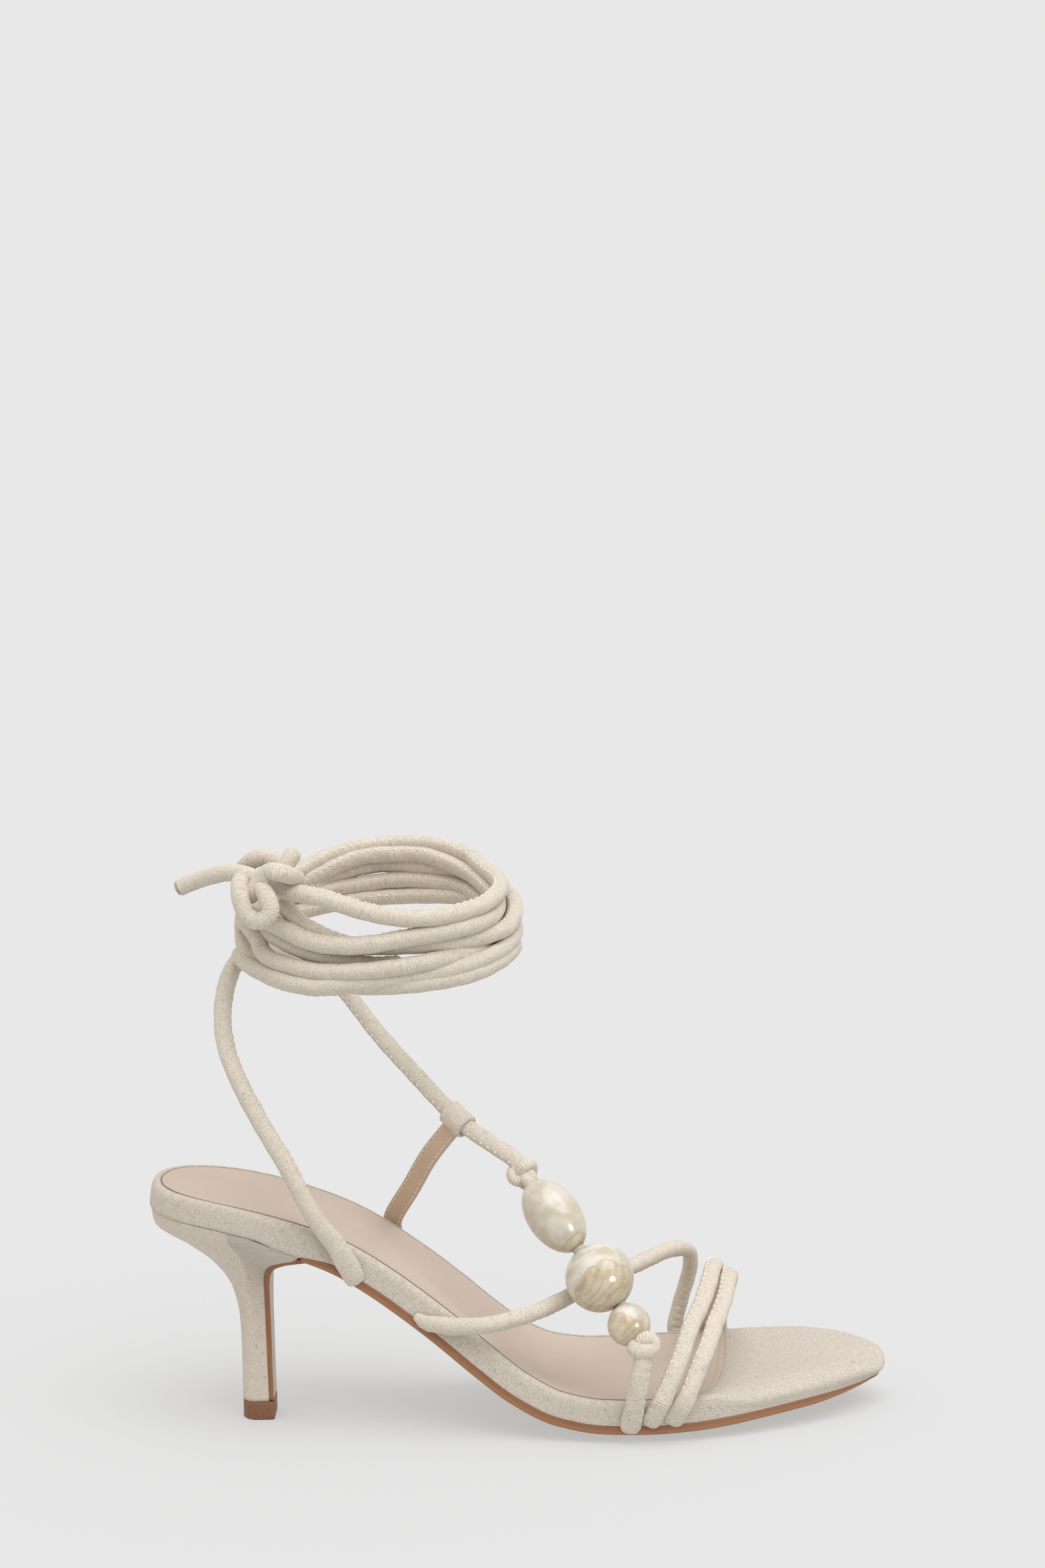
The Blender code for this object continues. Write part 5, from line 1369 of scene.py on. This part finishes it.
# Beads and their cord
def bead(row, material):
    """A turned bead between its two stops, with a bore along its axis and a softened mouth."""
    start = np.array(row.start)
    end = np.array(row.end)
    axis = unit(end - start)
    side = unit(np.cross(axis, UP))
    _, ways = wheel(BEAD_SIDES, side, np.cross(axis, side))
    half = (np.linalg.norm(end - start) - GAP) / 2
    limit = math.acos((BORE + MOUTH) / row.radius)
    profile = []
    for angle in limit * np.arange(-BEAD_ROWS, BEAD_ROWS + 1) / BEAD_ROWS:
        profile.append((half * math.sin(angle), row.radius * math.cos(angle)))
    mouth = half * math.sin(limit)
    profile += [(mouth - 0.06, BORE + 0.12), (mouth - MOUTH, BORE), (0.0, BORE), (MOUTH - mouth, BORE),
                (0.06 - mouth, BORE + 0.12)]
    rows = [(start + end) / 2 + axis * along + ways * away for along, away in profile]
    threads = np.zeros((len(rows) + 1, BEAD_SIDES + 1, 2))
    piece(lattice(row.name + "_turned", rows, threads, ring=True), material, "resin", row.name)


def facing(centre, path):
    """A line drawn as it faces the eye: right, up and near for each place."""
    return np.array([np.array(centre) + (right, -near, up) for right, up, near in path])


def overhand(centre, size, lift, turn):
    """A tight overhand knot's centre line, three lobes facing the eye."""
    t = np.linspace(0.0, 2 * np.pi, 61)[:-1]
    x = np.sin(t) + 2 * np.sin(2 * t)
    y = np.cos(t) - 2 * np.cos(2 * t)
    right = x * math.cos(turn) - y * math.sin(turn)
    up = x * math.sin(turn) + y * math.cos(turn)
    return facing(centre, size * np.column_stack((right, up, -lift * np.sin(3 * t))))


def upper_knot():
    """The knot above the oval bead, its seam turned inwards."""
    def inwards(spot):
        return np.array(KNOT_UPPER) - spot + (0.0, 3.0, 0.1)
    rows = whole_cord(overhand(KNOT_UPPER, 1.22, 1.2, 0.5), UPPER_KNOT_CORD)
    linen_cord("upper_knot", rows, inwards, 5, step=KNOT_STEP, closed=True, pucker=0.1, sides=18)


def lower_knot():
    """One turn of the cord round itself, its end a lobe at the upper right."""
    rows = whole_cord(facing(KNOT_LOWER, KNOT_LOWER_PATH), LOWER_KNOT_CORD)
    linen_cord("lower_knot", rows, (0.0, 1.0, 0.0), 6, step=KNOT_STEP, pucker=0.12, tips=(1.5, 1.5))


def bead_string():
    """The cord through the beads, its lower end thicker below the knot and tucked into the sole's edge."""
    rows = whole_cord([BORE_MIDDLE] + STOPS[1:], BEAD_CORD) + whole_cord([KNOT_LOWER]) + BEAD_TONGUE[::-1]
    _, lay = linen_cord("bead_string", rows, (1.0, 0.0, 0.3), 4, "bead_cord", flat=sideways, tips=(0.0, 0.6))
    sew("bead_string_stitches", seam_stitches(lay, 46.0, 9.0, CORD))


# Ankle ties
def wrap_run(rows):
    """Places on a turn round the ankle, from angles in degrees, steps out from the ellipse and heights."""
    places = []
    for angle, out, z in rows:
        turn = math.radians(angle)
        places.append((WRAP_X + (WRAP_LONG + out) * math.cos(turn), (WRAP_WIDE + out) * math.sin(turn), z))
    return places


def wrap_seam(near, far):
    """The side with the seam: degrees from the top towards the ankle, on a turn's near and far side."""
    def way(spot):
        tilt = math.radians(near + (far - near) * smooth(spot[1], -22.0, 22.0))
        ankle = unit(np.array((WRAP_X - spot[0], -spot[1], 0.0)))
        return UP * math.cos(tilt) + ankle * math.sin(tilt)
    return way


def ankle_ties():
    """The back tie, the front tie and the turns round the ankle, with their stitches."""
    rows = TIE_TONGUE + whole_cord(BACK_TIE) + whole_cord(wrap_run(BACK_TIE_END), WRAP_CORD)
    _, lay = linen_cord("back_tie", rows, (0.8, 0.6, 0.3), 7, "ankle_wrap", flat=sideways, tips=(1.2, 2.5))
    places = seam_stitches(lay, 14.0, 4.0, CORD)
    rows = whole_cord([BORE_MIDDLE, STOPS[0]], BEAD_CORD) + whole_cord([KNOT_UPPER], KNOT_NECK)
    rows += whole_cord(FRONT_TIE_LOW + [LOOP_AT] + FRONT_TIE_HIGH + wrap_run(FRONT_TIE_END))
    _, lay = linen_cord("front_tie", rows, (0.5, -0.6, -0.9), 8, tips=(0.0, 2.5))
    places += seam_stitches(lay, 18.0, 4.0, CORD)
    turns = ((TURN_1, True, 12, 62), (TURN_2, True, 25, 60), (TURN_3, False, -5, 65), (TURN_4, True, 140, 70),
             (TURN_5, False, 168, 70))
    for number, (turn, closed, near, far) in enumerate(turns):
        rows = whole_cord(wrap_run(turn), WRAP_CORD)
        tips = (0.0, 0.0) if closed else (2.5, 2.5)
        seam = wrap_seam(near, far)
        _, lay = linen_cord(f"wrap_turn_{number + 1}", rows, seam, 9 + number, closed=closed, tips=tips)
        places += seam_stitches(lay, 4.0, 4.0, WRAP_CORD)
    sew("tie_stitches", places)


def loop_strap():
    """A flat strap with a stitched leather lining, sewn into a linen band round the front tie."""
    edge = INNER(TUCK_LOOP.x)
    foot = [sole_point(TUCK_LOOP.x, edge + out, up - FOOTBED_THICK, 0.0) for out, up in STRAP_FOOT]
    run = run_through(foot + LOOP_STRAP, STRAP_STEP)
    walk = walked(run)
    axis = unit(np.array(FRONT_TIE_HIGH[0]) - np.array(FRONT_TIE_LOW[-1]))
    along = unit(np.gradient(run, axis=0))
    level = unit(np.array((1.0, 0.0, rim_slope(TUCK_LOOP.x))))
    past = np.arange(len(run)) - STRAP_FLAT_ROWS
    share = np.clip(past / past[-1], 0.0, 1.0)[:, None]
    wide = level * (1.0 - share) - axis * share
    wide = unit(wide - along * np.einsum("ij,ij->i", wide, along)[:, None])
    thick = np.cross(along, wide)
    thick *= -np.sign(thick[-1, 1])
    half = STRAP_WIDE / 2
    outer = [(-half, -0.45), (-half + 0.2, -0.7), (0.0, -0.75), (half - 0.2, -0.7), (half, -0.45),
             (half, 0.05), (half - 0.15, 0.25), (0.0, 0.25), (0.15 - half, 0.25), (-half, 0.05)]
    inner = [(0.12 - half, 0.22), (half - 0.12, 0.22), (half - 0.12, 0.55), (half - 0.35, 0.72),
             (half - 0.9, 0.68), (half - 1.4, 0.75), (0.0, 0.78), (1.4 - half, 0.75),
             (0.9 - half, 0.68), (0.35 - half, 0.72), (0.12 - half, 0.55)]
    for name, section, material, slot, nodes in (
            ("loop_strap_linen", outer, CORD_LINEN, "linen", ["loop_strap"]),
            ("loop_strap_lining", inner, LINING_LEATHER, "sock", [])):
        rows = np.stack([run + wide * a + thick * b for a, b in section], axis=1)
        width = np.array([a for a, b in section + section[:1]])
        piece(lattice(name, rows, pairs(walk[:, None], width)), material, slot, *nodes)
    places = []
    for at in np.arange(STRAP_STITCH_START, walk[-1] - 1.0, STRAP_STITCH_PITCH):
        i = int(np.argmin(np.abs(walk - at)))
        for side in (-1, 1):
            step = wide[i] * (side * (half - STRAP_STITCH_INSET)) + thick[i] * STRAP_STITCH_UP
            places.append((run[i] + step, along[i], thick[i]))
    sew("loop_strap_stitches", places, STRAP_STITCH)
    loop_band(axis)


def loop_band(axis):
    """The linen band that the strap ends in, round the front tie."""
    side = unit(np.cross(axis, UP))
    turns, ways = wheel(BAND_SIDES, side, np.cross(axis, side))
    inner = CORD + 0.1
    outer = CORD + GAP + LOOP_WALL
    half = LOOP_WIDE / 2
    profile = [(-half, inner + 0.2), (-half - 0.05, inner + 0.7), (-half + 0.15, outer - 0.15),
               (-half + 0.6, outer + 0.05), (-0.5 * half, outer), (0.0, outer - 0.08), (0.5 * half, outer),
               (half - 0.6, outer + 0.05), (half - 0.15, outer - 0.15), (half + 0.05, inner + 0.7),
               (half, inner + 0.2), (0.0, inner)]
    swell = 1.0 + 0.02 * np.sin(3 * turns)[:, None]
    rows = [np.array(LOOP_AT) + axis * along + ways * away * swell for along, away in profile]
    across = np.array([along for along, away in profile + profile[:1]])
    threads = pairs(np.append(turns, 2 * np.pi) * outer, across[:, None])
    piece(lattice("loop_band", rows, threads, ring=True), CORD_LINEN, "linen")


def bow():
    """The bow's loop, its rear loop with the short end, its tail and the knot's turn."""
    soft = {"step": BOW_STEP, "pucker": BOW_PUCKER}
    loop, loop_lay = linen_cord("bow_loop", whole_cord(BOW_LOOP, BOW_LOOP_CORD), (0.3, 1.0, 0.2), 14,
                                "bow_loop_front", tips=(1.6, 1.6), **soft)
    rear, rear_lay = linen_cord("bow_rear", whole_cord(BOW_REAR[::-1], BOW_REAR_CORD), (0.3, 1.0, 0.3), 15,
                                "bow_loop_rear", "bow_end_short", tips=(1.6, 2.3), **soft)
    tail, tail_lay = linen_cord("bow_tail", whole_cord(BOW_TAIL, BOW_TAIL_CORD), (0.2, 0.9, -0.5), 16,
                                "bow_end_long", tips=(1.6, 0.35), **soft)
    knot, _ = linen_cord("bow_knot_turn", whole_cord(BOW_KNOT, BOW_KNOT_CORD), (0.3, 1.0, 0.3), 17,
                         "bow_knot", step=BOW_STEP, pucker=0.12, tips=(2.2, 2.2))
    tail_core(tail_lay)


def tail_core(lay):
    """The grey filling that shows in the cut end of the long tail."""
    turns, ways = wheel(CORE_SIDES, lay.out[-1], lay.side[-1])
    ragged = 1.0 + 0.06 * np.sin(5 * turns + 0.7)[:, None]
    rows = [lay.spots[-1] + lay.along[-1] * step + ways * away * ragged for step, away in CORE]
    threads = np.zeros((len(rows), CORE_SIDES + 1, 2))
    return piece(lattice("bow_tail_core", rows, threads), CORD_CORE, "linen")


# Studio
BACKDROP = 0.807
AMBIENT = (0.81, 0.79, 0.755)
SUN = (0.98, 1.0, 1.04)
SUN_POWER = 1.95
SUN_WAY = (0.22, -0.4, 1.0)
FLOOR_GLOW = 0.4
FLOOR_HALF = 40.0
BEADS_AT = (0.025, -0.027, 0.05)


def studio():
    """The pale room: backdrop, floor and lamps."""
    scene = bpy.context.scene
    scene.view_settings.view_transform = "Standard"
    world = bpy.data.worlds.new("studio")
    world.use_nodes = True
    tree = world.node_tree
    fill_light = tree.nodes["Background"]
    fill_light.inputs["Color"].default_value = (*AMBIENT, 1.0)
    backdrop = add(tree, "ShaderNodeBackground", {"Color": (BACKDROP, BACKDROP, BACKDROP, 1.0)})
    eye = add(tree, "ShaderNodeLightPath", {}).outputs["Is Camera Ray"]
    both = add(tree, "ShaderNodeMixShader", {0: eye, 1: fill_light.outputs[0], 2: backdrop.outputs[0]})
    tree.links.new(both.outputs[0], tree.nodes["World Output"].inputs["Surface"])
    scene.world = world
    mesh = bpy.data.meshes.new("floor")
    corners = [(x * FLOOR_HALF, y * FLOOR_HALF, 0.0) for x, y in ((-1, -1), (1, -1), (1, 1), (-1, 1))]
    mesh.from_pydata(corners, [], [(0, 1, 2, 3)])
    material, tree, shader = finish("pale floor", 0.9)
    sunlit = SUN_POWER * Vector(SUN_WAY).normalized().z / math.pi
    paint = [(BACKDROP - FLOOR_GLOW) / (sky + sunlit * sun) for sky, sun in zip(AMBIENT, SUN)]
    shader.inputs["Base Color"].default_value = (*paint, 1.0)
    shader.inputs["Emission Color"].default_value = (FLOOR_GLOW, FLOOR_GLOW, FLOOR_GLOW, 1.0)
    shader.inputs["Emission Strength"].default_value = 1.0
    shader.inputs["Specular IOR Level"].default_value = 0.0
    mesh.materials.append(material)
    floor = bpy.data.objects.new("floor", mesh)
    scene.collection.objects.link(floor)
    overhead = lamp("overhead", "SUN", SUN_POWER, SUN_WAY, math.radians(60.0))
    overhead.data.color = SUN
    spark = lamp("side", "AREA", 3.8, (0.65, -0.72, 0.06), 0.36)
    spark.visible_diffuse = False


def lamp(name, kind, power, way, size):
    """A lamp shining from a direction onto the beads; a sun's size is its angle, an area's is its width."""
    data = bpy.data.lights.new(name, kind)
    data.energy = power
    if kind == "SUN":
        data.angle = size
    else:
        data.shape = "DISK"
        data.size = size
    item = bpy.data.objects.new(name, data)
    bpy.context.scene.collection.objects.link(item)
    way = Vector(way).normalized()
    item.matrix_world = way.to_track_quat("Z", "Y").to_matrix().to_4x4()
    item.matrix_world.translation = Vector(BEADS_AT) + way
    return item


studio_camera()
bow()
straps()
bead_string()
ankle_ties()
upper_knot()
lower_knot()
loop_strap()
for row, marble in zip(BEADS, MARBLES):
    bead(row, resin(row.name + " resin", marble))
footbed_cover()
sock()
sock_edge()
outsole_sheet()
outsole_flap()
heel_cover()
heel_tip()
studio()
